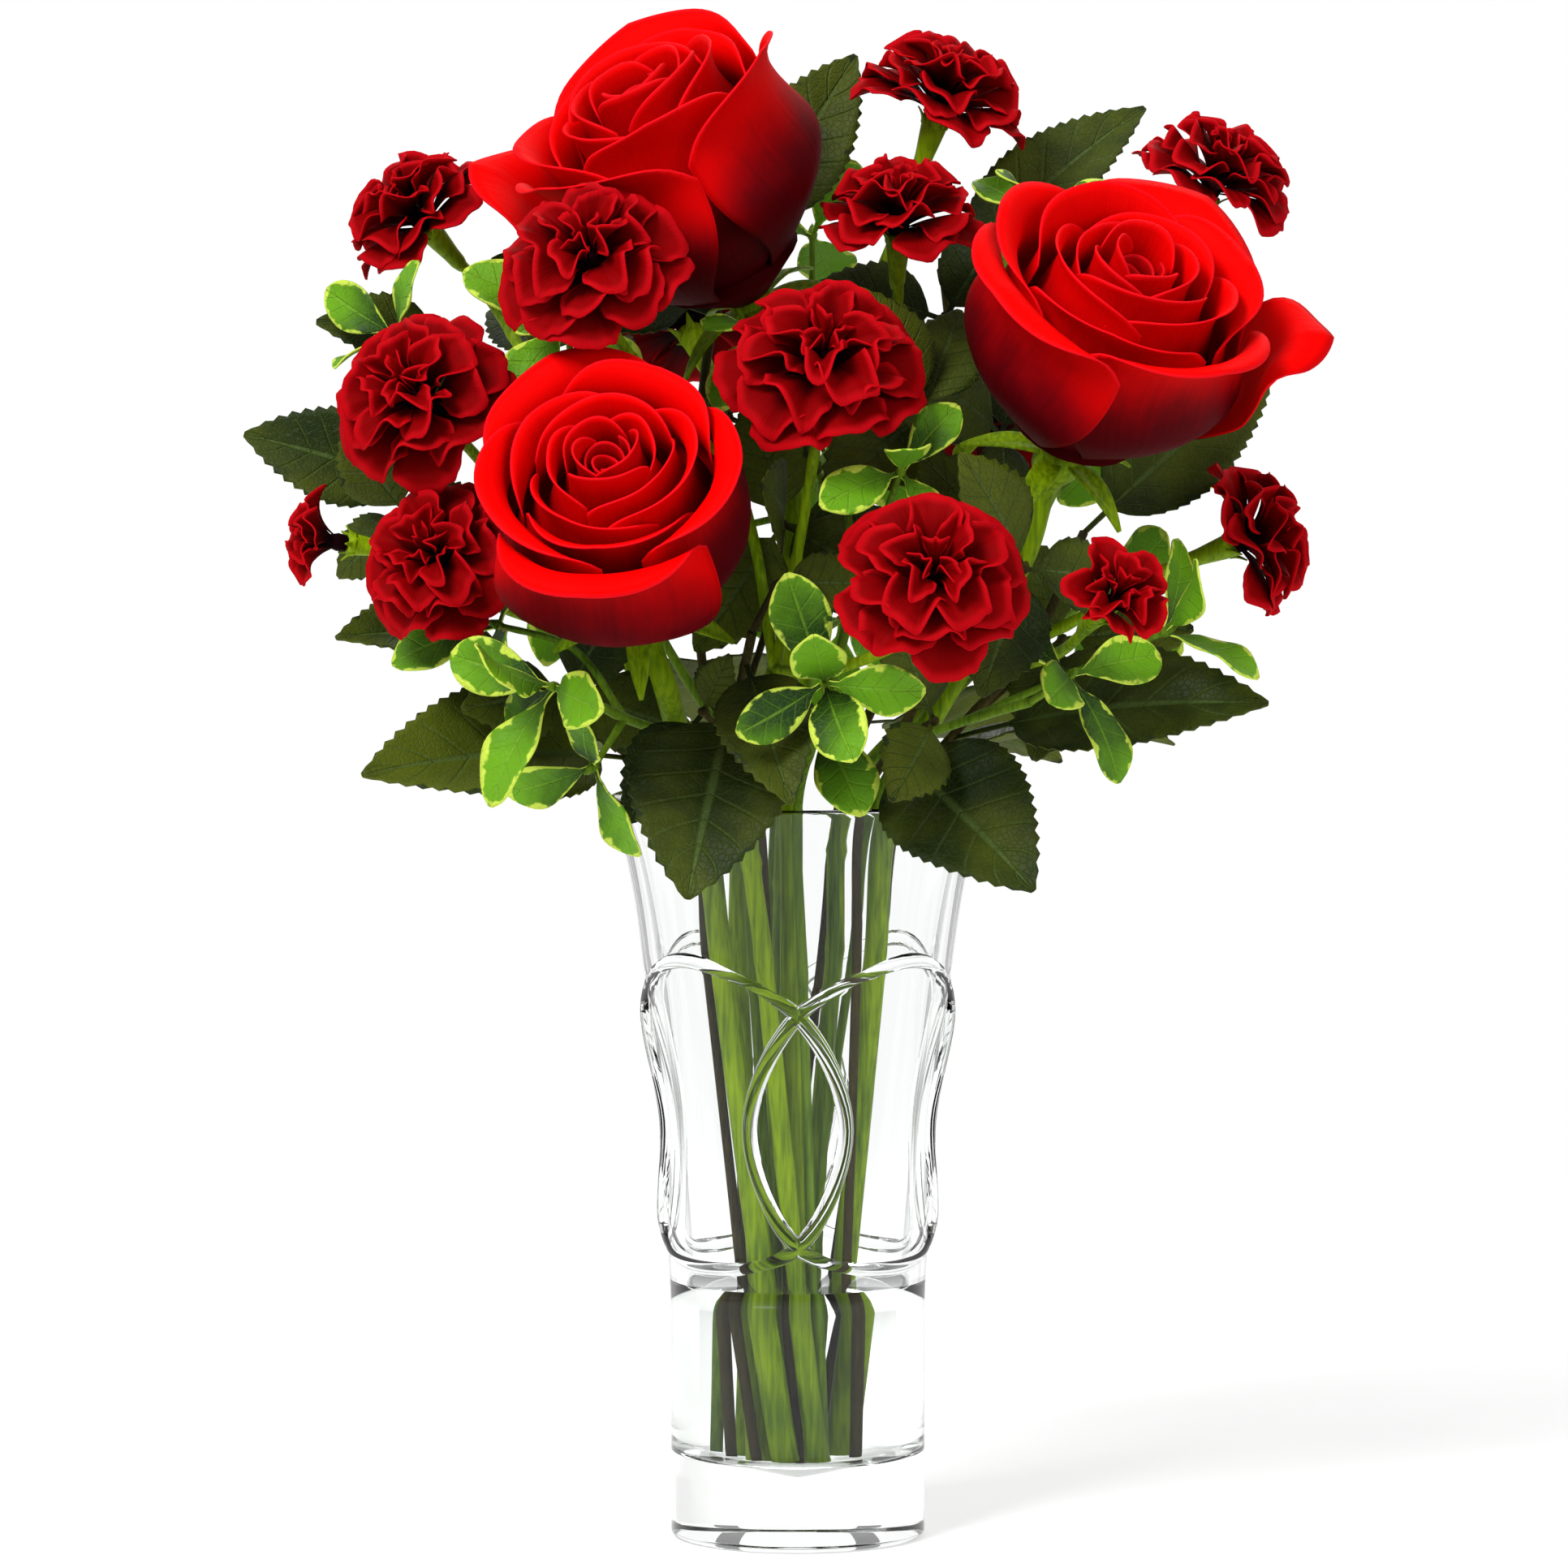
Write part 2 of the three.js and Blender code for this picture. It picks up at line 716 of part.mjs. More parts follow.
/**
 * A point of a rose petal in its head's axes. Petal t runs from 0 at the heart to 1 outside.
 * Inner petals close over the heart; outer ones stand wider, and their lips roll back.
 */
function rosePetalPoint(t, turn, open, u, v, stray = 0) {
  const belly = ROSE_HEART + (ROSE_BELLY - ROSE_HEART) * Math.sqrt(t);
  const rim = belly * (0.86 + (open - 0.86) * t * t);
  const height = ROSE_HEIGHT * (1 - 0.1 * t);
  const halfAngle = Math.min(1.2, ROSE_PETAL_WIDTH / 2 / belly);
  const up = v * (1 - 0.14 * Math.abs(u) ** 3);
  const root = 3 + 2 * t;
  const swell = Math.sin((clamp(up / 0.5, 0, 1) * Math.PI) / 2);
  const lip = clamp((up - 0.8) / 0.2, 0, 1);
  const spread = halfAngle * (0.3 + 0.7 * Math.sin((clamp(up * 1.35, 0, 1) * Math.PI) / 2));
  const angle = turn + u * spread;
  const belled = root + (belly - root + 0.7 * u) * swell;
  const unfurled = smooth((up - 0.45) / 0.55);
  const r = belled + (rim - belly + stray) * unfurled + 3 * t * lip * lip;
  const z = height * up ** 0.92 - 3.5 * t * lip * lip - 0.6 * stray * unfurled;
  return new Vector3(r * Math.cos(angle), r * Math.sin(angle), z);
}

/** A point of the heart: one petal strip wound up as a scroll. */
function roseHeartPoint(u, v) {
  const along = (u + 1) / 2;
  const angle = along * 4.4 * Math.PI;
  const r = (2 + (ROSE_HEART - 3) * along) * (0.7 + 0.35 * Math.sin(Math.PI * v ** 0.8));
  return new Vector3(r * Math.cos(angle), r * Math.sin(angle), 6 + (ROSE_HEIGHT - 11 + 4 * along) * v);
}

/** A rose head: a scrolled heart and layers of petals, all rising from a small cone. */
function makeRoseHead(rose) {
  const cone = turned([[0, CLEARANCE], [5.6, CLEARANCE], [18.5, 8.4], [0, 15]], 8);
  const heart = blade(10, 2, 0.9, roseHeartPoint);
  const petals = Array.from({ length: ROSE_PETALS }, (_, i) => {
    const t = (i + 1) / ROSE_PETALS;
    const turn = i * GOLDEN_TURN;
    return blade(4, 3, 0.9, (u, v) => rosePetalPoint(t, turn, rose.open, u, 0.012 + v * 0.988));
  });
  if (rose.stray !== undefined) {
    const turn = rose.stray * RADIANS;
    const place = (u, v) => rosePetalPoint(1.06, turn, rose.open, 0.6 * u, 0.012 + v * 0.988, STRAY);
    petals.push(blade(4, 3, 0.9, place));
  }
  return join([cone, heart, ...petals]).transform(roseAxes(rose).elements);
}

/** A point of one of a rose's five sepals, in the head's axes. */
function sepalPoint(turn, u, v) {
  const out = 4 + 20 * v;
  const across = 3.4 * u * Math.sin(Math.PI * (0.25 + 0.7 * v));
  return new Vector3(
    out * Math.cos(turn) - across * Math.sin(turn),
    out * Math.sin(turn) + across * Math.cos(turn),
    -2.4 - 7 * v * v,
  );
}

/** The axes of a rose head, scaled. */
function roseAxes({ base, axis, scale, roll }) {
  return looking(base, axis, roll).multiply(new Matrix4().makeScale(scale, scale, scale));
}

/** A rose stem with its cup and five narrow sepals. */
function makeRoseStem(rose) {
  const { slot, route, base, axis } = rose;
  const end = vec(base);
  const back = vec(axis).normalize();
  const above = [
    ...route.map(vec),
    end.clone().addScaledVector(back, -16),
    end.clone().addScaledVector(back, -4),
  ];
  const cup = turned([[0, -12], [3.2, -12], [6.2, -5], [5.2, 0], [0, 0]], 6);
  const sepals = SEPAL_TURNS.map((turn) => blade(1, 2, LEAF_THICKNESS, (u, v) => sepalPoint(turn, u, v)));
  const top = join([cup, ...sepals]).transform(roseAxes(rose).elements);
  return join([stemTube(slot, ROSE_STEM, above, 6), top]);
}

/** The outline of one ring of notched petals, ruffled up and down along its edge. */
function petalEdge({ height, lift, reach, turn, notes }) {
  const count = CARNATION_PETALS * notes.length;
  return Array.from({ length: count }, (_, i) => {
    const [share, wave] = notes[i % notes.length];
    const angle = turn + (i / count) * 2 * Math.PI;
    const r = CARNATION_RADIUS * reach * share;
    const elevation = (lift + wave) * RADIANS;
    const out = r * Math.cos(elevation);
    return new Vector3(out * Math.cos(angle), out * Math.sin(angle), height + r * Math.sin(elevation));
  });
}

/**
 * A carnation head as one skin: out under each ring of petals, over its edge, and back in to the
 * waist below the next ring.
 */
function makeCarnation({ base, axis, scale, rings = [0, 1, 2] }) {
  const corners = [new Vector3(0, 0, CLEARANCE)];
  const faces = [];
  const waistOf = (height) => {
    const start = corners.length;
    for (let k = 0; k < CARNATION_PETALS; k++) {
      const a = (k / CARNATION_PETALS) * 2 * Math.PI;
      corners.push(new Vector3(CARNATION_WAIST * Math.cos(a), CARNATION_WAIST * Math.sin(a), height));
    }
    return start;
  };
  const layers = rings.map((i) => CARNATION_RINGS[i]);
  let waist = null;
  layers.forEach((layer, n) => {
    const edge = petalEdge(layer);
    const count = edge.length;
    const low = corners.length;
    corners.push(...edge);
    const high = corners.length;
    corners.push(...edge.map((p) => new Vector3(p.x, p.y, p.z + PETAL_EDGE)));
    const last = n === layers.length - 1;
    const next = last
      ? corners.push(new Vector3(0, 0, layer.height + 4)) - 1
      : waistOf(layer.height + 1.6);
    const inner = (i, ring, whole) => {
      if (whole) return ring;
      const turn = (layer.turn / (2 * Math.PI) + i / count) * CARNATION_PETALS;
      return ring + (((Math.round(turn) % CARNATION_PETALS) + CARNATION_PETALS) % CARNATION_PETALS);
    };
    for (let i = 0; i < count; i++) {
      const j = (i + 1) % count;
      const [a, b] = [inner(i, waist ?? 0, waist === null), inner(j, waist ?? 0, waist === null)];
      faces.push(a, low + j, low + i);
      if (a !== b) faces.push(a, b, low + j);
      faces.push(low + i, low + j, high + j, low + i, high + j, high + i);
      const [c, d] = [inner(i, next, last), inner(j, next, last)];
      faces.push(c, high + i, high + j);
      if (c !== d) faces.push(c, high + j, d);
    }
    waist = next;
  });
  const geometry = new THREE.BufferGeometry().setFromPoints(corners);
  geometry.setIndex(faces);
  const size = new Matrix4().makeScale(scale, scale, scale);
  return solidOf(geometry).transform(looking(base, axis).multiply(size).elements);
}

/** A carnation spray: trunk, stalks, and the green tube under each bloom. */
function makeCarnationSpray({ slot, trunk, blooms }) {
  const fork = vec(trunk[trunk.length - 1]);
  const pieces = [stemTube(slot, SPRAY_STEM, trunk.map(vec), 5)];
  for (const { via, base, axis, scale } of blooms) {
    const back = vec(axis).normalize();
    const end = vec(base);
    const stalk = [
      fork,
      ...via.map(vec),
      end.clone().addScaledVector(back, -CARNATION_CALYX - 8),
      end.clone().addScaledVector(back, -4),
    ];
    pieces.push(tube(stalk, STALK, 4, [...via.map(() => 2), 2, 1]));
    const tubeOfSepals = turned([[0, -CARNATION_CALYX], [2.1, -CARNATION_CALYX], [3.5, 0], [0, 0]], 5);
    const size = Math.max(scale, 0.8);
    const scaled = new Matrix4().makeScale(size, size, size);
    pieces.push(tubeOfSepals.transform(looking(base, axis).multiply(scaled).elements));
  }
  return join(pieces);
}

/** A leaf's own axes: from its root towards its tip, with its face towards `face`. */
function leafAxes(root, tip, face) {
  const along = tip.clone().sub(root);
  const length = along.length();
  along.normalize();
  const across = along.clone().cross(vec(face)).normalize();
  const up = across.clone().cross(along).normalize();
  return { root, along, across, up, length };
}

/** A point of a leaf: stalk, then a blade folded on its rib and arched along its length. */
function leafPoint({ root, along, across, up, length }, { width, stalk, arch, fold, outline }, u, v) {
  const blade = clamp((v - stalk) / (1 - stalk), 0, 1);
  const half = Math.max(0.7, (width / 2) * outline(blade));
  const bow = arch * length * 4 * v * (1 - v);
  return root
    .clone()
    .addScaledVector(along, v * length)
    .addScaledVector(across, u * half * Math.cos(fold))
    .addScaledVector(up, bow + Math.abs(u) * half * Math.sin(fold));
}

// Leaf shapes: `stalk` is the share of the length that is stalk, `full` the width by length.
const LEAF_SHAPES = {
  dark: {
    stalk: 0.14,
    arch: 0.06,
    fold: 16 * RADIANS,
    full: 0.6,
    outline: (b) => 1.03 * Math.sin(Math.PI * b ** 0.72) ** 0.8,
  },
  cream: {
    stalk: 0.12,
    arch: 0.07,
    fold: 0,
    full: 0.5,
    outline: (b) => Math.sin(Math.PI * b ** 1.35) ** 0.62,
  },
};
const LONGEST_BLADE = 72;

/** Balls that stand for a leaf when others look for room. */
function leafProbes(axes, shape, rows, columns, radius) {
  const probes = [];
  for (const v of rows) {
    for (const u of columns) probes.push({ at: leafPoint(axes, shape, u, v), radius });
  }
  return probes;
}

const PROBE_ROWS = [0.28, 0.38, 0.48, 0.58, 0.68, 0.78, 0.88, 0.95];
const PROBE_COLUMNS = [-0.9, -0.45, 0, 0.45, 0.9];
const probesOf = ({ axes, shape }) => leafProbes(axes, shape, PROBE_ROWS, PROBE_COLUMNS, 2.6);

/** Balls along a leaf's stalk, which other leaves keep clear of. */
const stalkOf = ({ axes, shape }) => leafProbes(axes, shape, [0.1, 0.16, 0.22], [0], 1.6);

/** True if no ball of `probes` comes within the clearance of a ball in `taken`. */
function isClear(probes, taken) {
  return probes.every((p) => taken.every((q) => p.at.distanceTo(q.at) > p.radius + q.radius + CLEARANCE));
}

/** The first bend of a leaf that stands clear of everything, or null. */
function settle(root, tip, face, shape, taken) {
  const wanted = leafAxes(root, tip, face);
  for (const share of [1, 0.8, 0.64]) {
    for (const [swing, tilt] of BENDS) {
      const turned = tip
        .clone()
        .sub(root)
        .multiplyScalar(share)
        .applyAxisAngle(wanted.up, swing * RADIANS)
        .applyAxisAngle(wanted.across, tilt * RADIANS)
        .add(root);
      const leaf = { axes: leafAxes(root, turned, face), shape: { ...shape, width: shape.width * share } };
      if (isClear(probesOf(leaf), taken)) return leaf;
    }
  }
  return null;
}

/** Balls along a stem's curve. */
function stemProbes(points, radius) {
  const curve = new THREE.CatmullRomCurve3(points);
  const count = Math.ceil(curve.getLength() / 3);
  return Array.from({ length: count + 1 }, (_, i) => ({ at: curve.getPointAt(i / count), radius }));
}

/** The points of the twig that carries a whorl. */
function twigRoute(trunk, { from, via, end }) {
  return [vec(trunk[from]), ...via.map(vec), vec(end)];
}

/** Everything that leaves must keep clear of before any leaf is placed. */
function firstObstacles() {
  const taken = [];
  const ball = (base, axis, along, radius) =>
    taken.push({ at: vec(base).addScaledVector(vec(axis).normalize(), along), radius });
  for (const rose of ROSES) {
    const { slot, route, base, axis, scale } = rose;
    ball(base, axis, 42 * scale, 41 * scale);
    ball(base, axis, 20 * scale, 31 * scale);
    ball(base, axis, -4, 8);
    for (const turn of SEPAL_TURNS) {
      for (const v of [0.2, 0.5, 0.8, 1]) {
        taken.push({ at: sepalPoint(turn, 0, v).applyMatrix4(roseAxes(rose)), radius: 3 });
      }
    }
    taken.push(...stemProbes([...stemInVase(slot, ROSE_STEM), ...route.map(vec), vec(base)], ROSE_STEM));
  }
  for (const { slot, trunk, blooms } of CARNATION_SPRAYS) {
    const stem = [...stemInVase(slot, SPRAY_STEM), ...trunk.map(vec)];
    taken.push(...stemProbes(stem, SPRAY_STEM));
    for (const { via, base, axis, scale } of blooms) {
      ball(base, axis, 8 * scale, 23.5 * scale);
      ball(base, axis, -8, 5);
      taken.push(...stemProbes([stem[stem.length - 1], ...via.map(vec), vec(base)], STALK));
    }
  }
  for (const { slot, trunk, whorls } of LEAF_SPRAYS) {
    taken.push(...stemProbes([...stemInVase(slot, WOODY_STEM), ...trunk.map(vec)], WOODY_STEM));
    for (const whorl of whorls) taken.push(...stemProbes(twigRoute(trunk, whorl), TWIG));
  }
  for (let z = 176; z <= VASE_HEIGHT; z += 6) {
    for (let i = 0; i < 72; i++) {
      const a = (i / 72) * 2 * Math.PI;
      const r = vaseRadius(z) - 2;
      taken.push({ at: new Vector3(r * Math.cos(a), r * Math.sin(a), z), radius: 2.5 });
    }
  }
  return taken;
}

/** Places the single leaves of one spray. */
function layLeaves({ kind, slot, trunk, leaves }, taken) {
  const free = new THREE.CatmullRomCurve3([new Vector3(slot[0], slot[1], NECK_HEIGHT), ...trunk.map(vec)]);
  const laid = [];
  for (const { at, tip, width, face } of leaves) {
    const root = free.getPoint(at);
    const reach = vec(tip).sub(root).length();
    const plain = LEAF_SHAPES[kind];
    const shape = { ...plain, width, stalk: Math.max(plain.stalk, 1 - LONGEST_BLADE / reach) };
    const leaf = settle(root, vec(tip), face, shape, taken);
    if (leaf) laid.push(leaf);
    if (leaf) taken.push(...probesOf(leaf), ...stalkOf(leaf));
  }
  return laid;
}

/** Places the whorls of one spray, leaf by leaf. */
function layWhorls({ kind, whorls }, taken) {
  return whorls.map(({ end, axis, leaves, length }, w) => {
    const frame = looking([0, 0, 0], axis);
    const laid = [];
    for (let i = 0; i < leaves; i++) {
      const turn = (i / leaves) * 2 * Math.PI + w;
      const open = (i % 2 ? 50 : 74) * RADIANS;
      const out = new Vector3().setFromSphericalCoords(1, open, Math.PI / 2 - turn);
      const upright = new Vector3(out.x, out.z, out.y);
      const reach = length * (0.86 + 0.07 * (i % 3));
      const tip = upright.applyMatrix4(frame).multiplyScalar(reach).add(vec(end));
      const shape = { ...LEAF_SHAPES[kind], fold: 0, width: LEAF_SHAPES[kind].full * reach };
      const leaf = settle(vec(end), tip, axis, shape, taken);
      if (leaf) laid.push(leaf);
      if (leaf) taken.push(...probesOf(leaf), ...stalkOf(leaf));
    }
    return { end, axis, leaves: laid };
  });
}

/** A toothed leaf: every second step of its edge stands out as a tooth. */
function makeToothedLeaf({ axes, shape }) {
  const rows = 6;
  const toothed = (u, v) => {
    const row = Math.round(v * rows);
    const point = leafPoint(axes, shape, u, v);
    const tooth = row > 1 && row < rows && row % 2 === 0 && Math.abs(u) === 1 ? 1.5 : 0;
    return point.addScaledVector(axes.across, Math.sign(u) * tooth).addScaledVector(axes.along, tooth);
  };
  return blade(2, rows, LEAF_THICKNESS, toothed);
}

/**
 * A whorl as one skin: a small middle with a corner between each two leaves, and each leaf's
 * outline waved up and down along its sides.
 */
function makeWhorl({ end, axis, leaves }) {
  const frame = looking(end, axis);
  const back = frame.clone().invert();
  const turnOf = ({ axes, shape }) => {
    const p = leafPoint(axes, shape, 0, 0.6).applyMatrix4(back);
    return Math.atan2(p.y, p.x);
  };
  const round = [...leaves].sort((a, b) => turnOf(a) - turnOf(b));
  const rim = [];
  round.forEach((leaf, i) => {
    const last = turnOf(round[(i + round.length - 1) % round.length]);
    const turn = turnOf(leaf);
    const gap = i === 0 ? turn - last + 2 * Math.PI : turn - last;
    const between = turn - gap / 2;
    const corner = new Vector3(WHORL_MIDDLE * Math.cos(between), WHORL_MIDDLE * Math.sin(between), 0);
    const { axes, shape } = leaf;
    const handed = axes.across.clone().cross(axes.along).dot(vec(axis)) > 0 ? 1 : -1;
    const sides = [[-1, 0.45], [-1, 0.8], [0, 1], [1, 0.8], [1, 0.45]];
    const outline = sides.map(([u, v], k) => {
      const wave = 0.06 * shape.width * (k % 2 ? 1 : -1);
      return leafPoint(axes, shape, -u * handed, v).addScaledVector(axes.up, wave);
    });
    rim.push({ corner: corner.applyMatrix4(frame), outline, up: axes.up });
  });
  const middle = vec(end);
  const out = new Vector3(0, 0, 1).transformDirection(frame);
  const corners = [];
  const both = (point, up, half = LEAF_THICKNESS / 2) => {
    corners.push(point.clone().addScaledVector(up, half));
    corners.push(point.clone().addScaledVector(up, -half));
    return corners.length - 2;
  };
  const centre = both(middle, out, 1.6);
  const faces = [];
  const face = (a, b, c) => faces.push(a, b, c, a + 1, c + 1, b + 1);
  const wall = (a, b) => faces.push(a, a + 1, b, b, a + 1, b + 1);
  const roots = rim.map(({ corner }) => both(corner, out));
  rim.forEach(({ outline, up }, i) => {
    const [from, to] = [roots[i], roots[(i + 1) % roots.length]];
    const [a, b, tip, c, d] = outline.map((p) => both(p, up.dot(out) > 0 ? up : up.clone().negate()));
    face(centre, from, to);
    face(from, a, b);
    face(from, b, tip);
    face(from, tip, to);
    face(to, tip, c);
    face(to, c, d);
    [[from, a], [a, b], [b, tip], [tip, c], [c, d], [d, to]].forEach(([p, q]) => wall(p, q));
  });
  const geometry = new THREE.BufferGeometry().setFromPoints(corners);
  geometry.setIndex(faces);
  return solidOf(geometry);
}

/** A leaf spray: its stem and twigs with every leaf and whorl. */
function makeLeafSpray({ slot, trunk, whorls }, leaves, laid) {
  const stem = stemTube(slot, WOODY_STEM, trunk.map(vec), 5);
  const twigs = whorls.map((whorl) =>
    tube(twigRoute(trunk, whorl), TWIG, 4, [1, ...whorl.via.map(() => 2)]),
  );
  return join([stem, ...twigs, ...laid.map(makeWhorl), ...leaves.map(makeToothedLeaf)]);
}

const clear = { roughness: 0.05, transparent: true, opacity: 0.3 };
const glass = new THREE.MeshStandardMaterial({ color: 0xf4f8f8, ...clear });
const water = new THREE.MeshStandardMaterial({ color: 0xe6f2f0, ...clear });
const rosePetals = new THREE.MeshStandardMaterial({ color: 0xd80404, roughness: 0.6 });
const carnationPetals = new THREE.MeshStandardMaterial({ color: 0xb00008, roughness: 0.65 });
const greenStem = new THREE.MeshStandardMaterial({ color: 0x5d8a1e, roughness: 0.5 });
const darkLeaf = new THREE.MeshStandardMaterial({ color: 0x24301a, roughness: 0.55 });
const creamLeaf = new THREE.MeshStandardMaterial({ color: 0x5f8a35, roughness: 0.5 });

const bouquet = new THREE.Group();

/** Adds a solid to the bouquet as a named mesh. */
function add(name, solid, material) {
  const mesh = new THREE.Mesh(geometryOf(solid.asOriginal().simplify(JOIN_TOLERANCE)), material);
  mesh.name = name;
  bouquet.add(mesh);
}

const stems = [
  ...ROSES.map(({ slot }) => ({ slot, radius: ROSE_STEM })),
  ...CARNATION_SPRAYS.map(({ slot }) => ({ slot, radius: SPRAY_STEM })),
  ...LEAF_SPRAYS.map(({ slot }) => ({ slot, radius: WOODY_STEM })),
];
add("vase", makeVase(), glass);
add("water", makeWater(stems), water);
for (const rose of ROSES) {
  add(`${rose.name}_head`, makeRoseHead(rose), rosePetals);
  add(`${rose.name}_stem`, makeRoseStem(rose), greenStem);
}
for (const spray of CARNATION_SPRAYS) {
  add(spray.name, makeCarnationSpray(spray), greenStem);
  for (const bloom of spray.blooms) add(bloom.name, makeCarnation(bloom), carnationPetals);
}
const taken = firstObstacles();
const singles = LEAF_SPRAYS.map((spray) => layLeaves(spray, taken));
const whorled = LEAF_SPRAYS.map((spray) => layWhorls(spray, taken));
LEAF_SPRAYS.forEach((spray, i) => {
  const colour = spray.kind === "dark" ? darkLeaf : creamLeaf;
  add(spray.name, makeLeafSpray(spray, singles[i], whorled[i]), colour);
});

export default bouquet;
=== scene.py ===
"""Finished surfaces for a bouquet of red roses and carnations in a clear glass vase.

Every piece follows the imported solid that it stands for. Lengths are millimetres until a piece is
done, when its mesh is turned into metres. The origin is the middle of the vase's foot, +Z is up and
the front faces -Y.
"""

import logging
import math
import random
from abc import ABC, abstractmethod
from collections.abc import Callable, Sequence
from dataclasses import dataclass, field, replace
from enum import Enum
from functools import cache, cached_property, partial

import bmesh
import bpy
import numpy as np
from mathutils import Matrix, Vector

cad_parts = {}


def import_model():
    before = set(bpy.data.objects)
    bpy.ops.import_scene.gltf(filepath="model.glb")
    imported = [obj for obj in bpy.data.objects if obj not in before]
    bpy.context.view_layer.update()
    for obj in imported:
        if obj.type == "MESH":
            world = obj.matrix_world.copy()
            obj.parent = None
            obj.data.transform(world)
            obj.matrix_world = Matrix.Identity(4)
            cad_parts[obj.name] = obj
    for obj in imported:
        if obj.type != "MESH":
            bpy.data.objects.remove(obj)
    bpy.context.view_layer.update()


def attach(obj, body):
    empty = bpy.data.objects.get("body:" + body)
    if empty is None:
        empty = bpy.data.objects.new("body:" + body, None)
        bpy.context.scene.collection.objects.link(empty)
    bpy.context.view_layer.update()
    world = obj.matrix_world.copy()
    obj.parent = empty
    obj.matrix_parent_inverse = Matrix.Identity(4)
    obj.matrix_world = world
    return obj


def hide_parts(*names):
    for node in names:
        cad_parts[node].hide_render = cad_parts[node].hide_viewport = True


LOG = logging.getLogger("bouquet")
MM = 0.001
UP = Vector((0, 0, 1))
FULL_TURN = 2 * math.pi
GOLDEN_TURN = math.radians(137.508)
SEPAL_TURNS = tuple(math.radians(degrees) for degrees in (0, 72, 144, 216, 288))

# What the pieces share: the gap between neighbours, the vase's neck, the stems' radii, the green
# tube under a carnation and the longest blade of a leaf.
CLEARANCE = 0.3
NECK_HEIGHT = 200.0
ROSE_STEM = 3.2
SPRAY_STEM = 2.5
STALK = 1.5
WOODY_STEM = 1.3
TWIG = 1.0
CALYX_LENGTH = 16.0
LONGEST_BLADE = 72.0

Numbers = Sequence[float]
Points = Sequence[Sequence[float]]
Place = Callable[[float, float], Vector]
Colour = tuple[float, float, float]
Socket = bpy.types.NodeSocket
Given = Socket | float | tuple[float, ...]


class Foliage(Enum):
    """The two kinds of leaf in the bouquet."""

    DARK = "dark"
    CREAM = "cream"


@dataclass(frozen=True)
class RoseSite:
    """Where a rose's stem rises and how its head is set on it.

    `opening` is how wide its outer petals stand at their rim, as a share of their belly,
    `stray` the way that one loose petal faces, and `facing` a further turn of the head, in
    degrees, that brings its widest outer petal to the front. `roll_back` is how far its lips roll
    back, as a share of the full roll.
    """

    name: str
    slot: Numbers
    route: Points
    base: Numbers
    axis: Numbers
    scale: float
    roll: float
    opening: float
    stray: float | None = None
    facing: float = 0.0
    roll_back: float = 1.0


@dataclass(frozen=True)
class BloomSite:
    """Where one carnation sits at the end of its stalk; `rings` are its rings of petals."""

    name: str
    via: Points
    base: Numbers
    axis: Numbers
    scale: float
    rings: Sequence[int] = (0, 1, 2)


@dataclass(frozen=True)
class CarnationSite:
    """A carnation spray's trunk and its blooms."""

    name: str
    slot: Numbers
    trunk: Points
    blooms: Sequence[BloomSite]


@dataclass(frozen=True)
class LeafSite:
    """A single leaf: its share along the trunk, its tip, its width and the way it faces."""

    at: float
    tip: Numbers
    width: float
    face: Numbers


@dataclass(frozen=True)
class WhorlSite:
    """A ring of leaves at the end of a twig that forks from one of the trunk's points."""

    fork: int
    via: Points
    end: Numbers
    axis: Numbers
    leaves: int
    length: float


@dataclass(frozen=True)
class LeafSpraySite:
    """A leafy stem with its single leaves and whorls."""

    name: str
    kind: Foliage
    slot: Numbers
    trunk: Points
    leaves: Sequence[LeafSite] = ()
    whorls: Sequence[WhorlSite] = ()


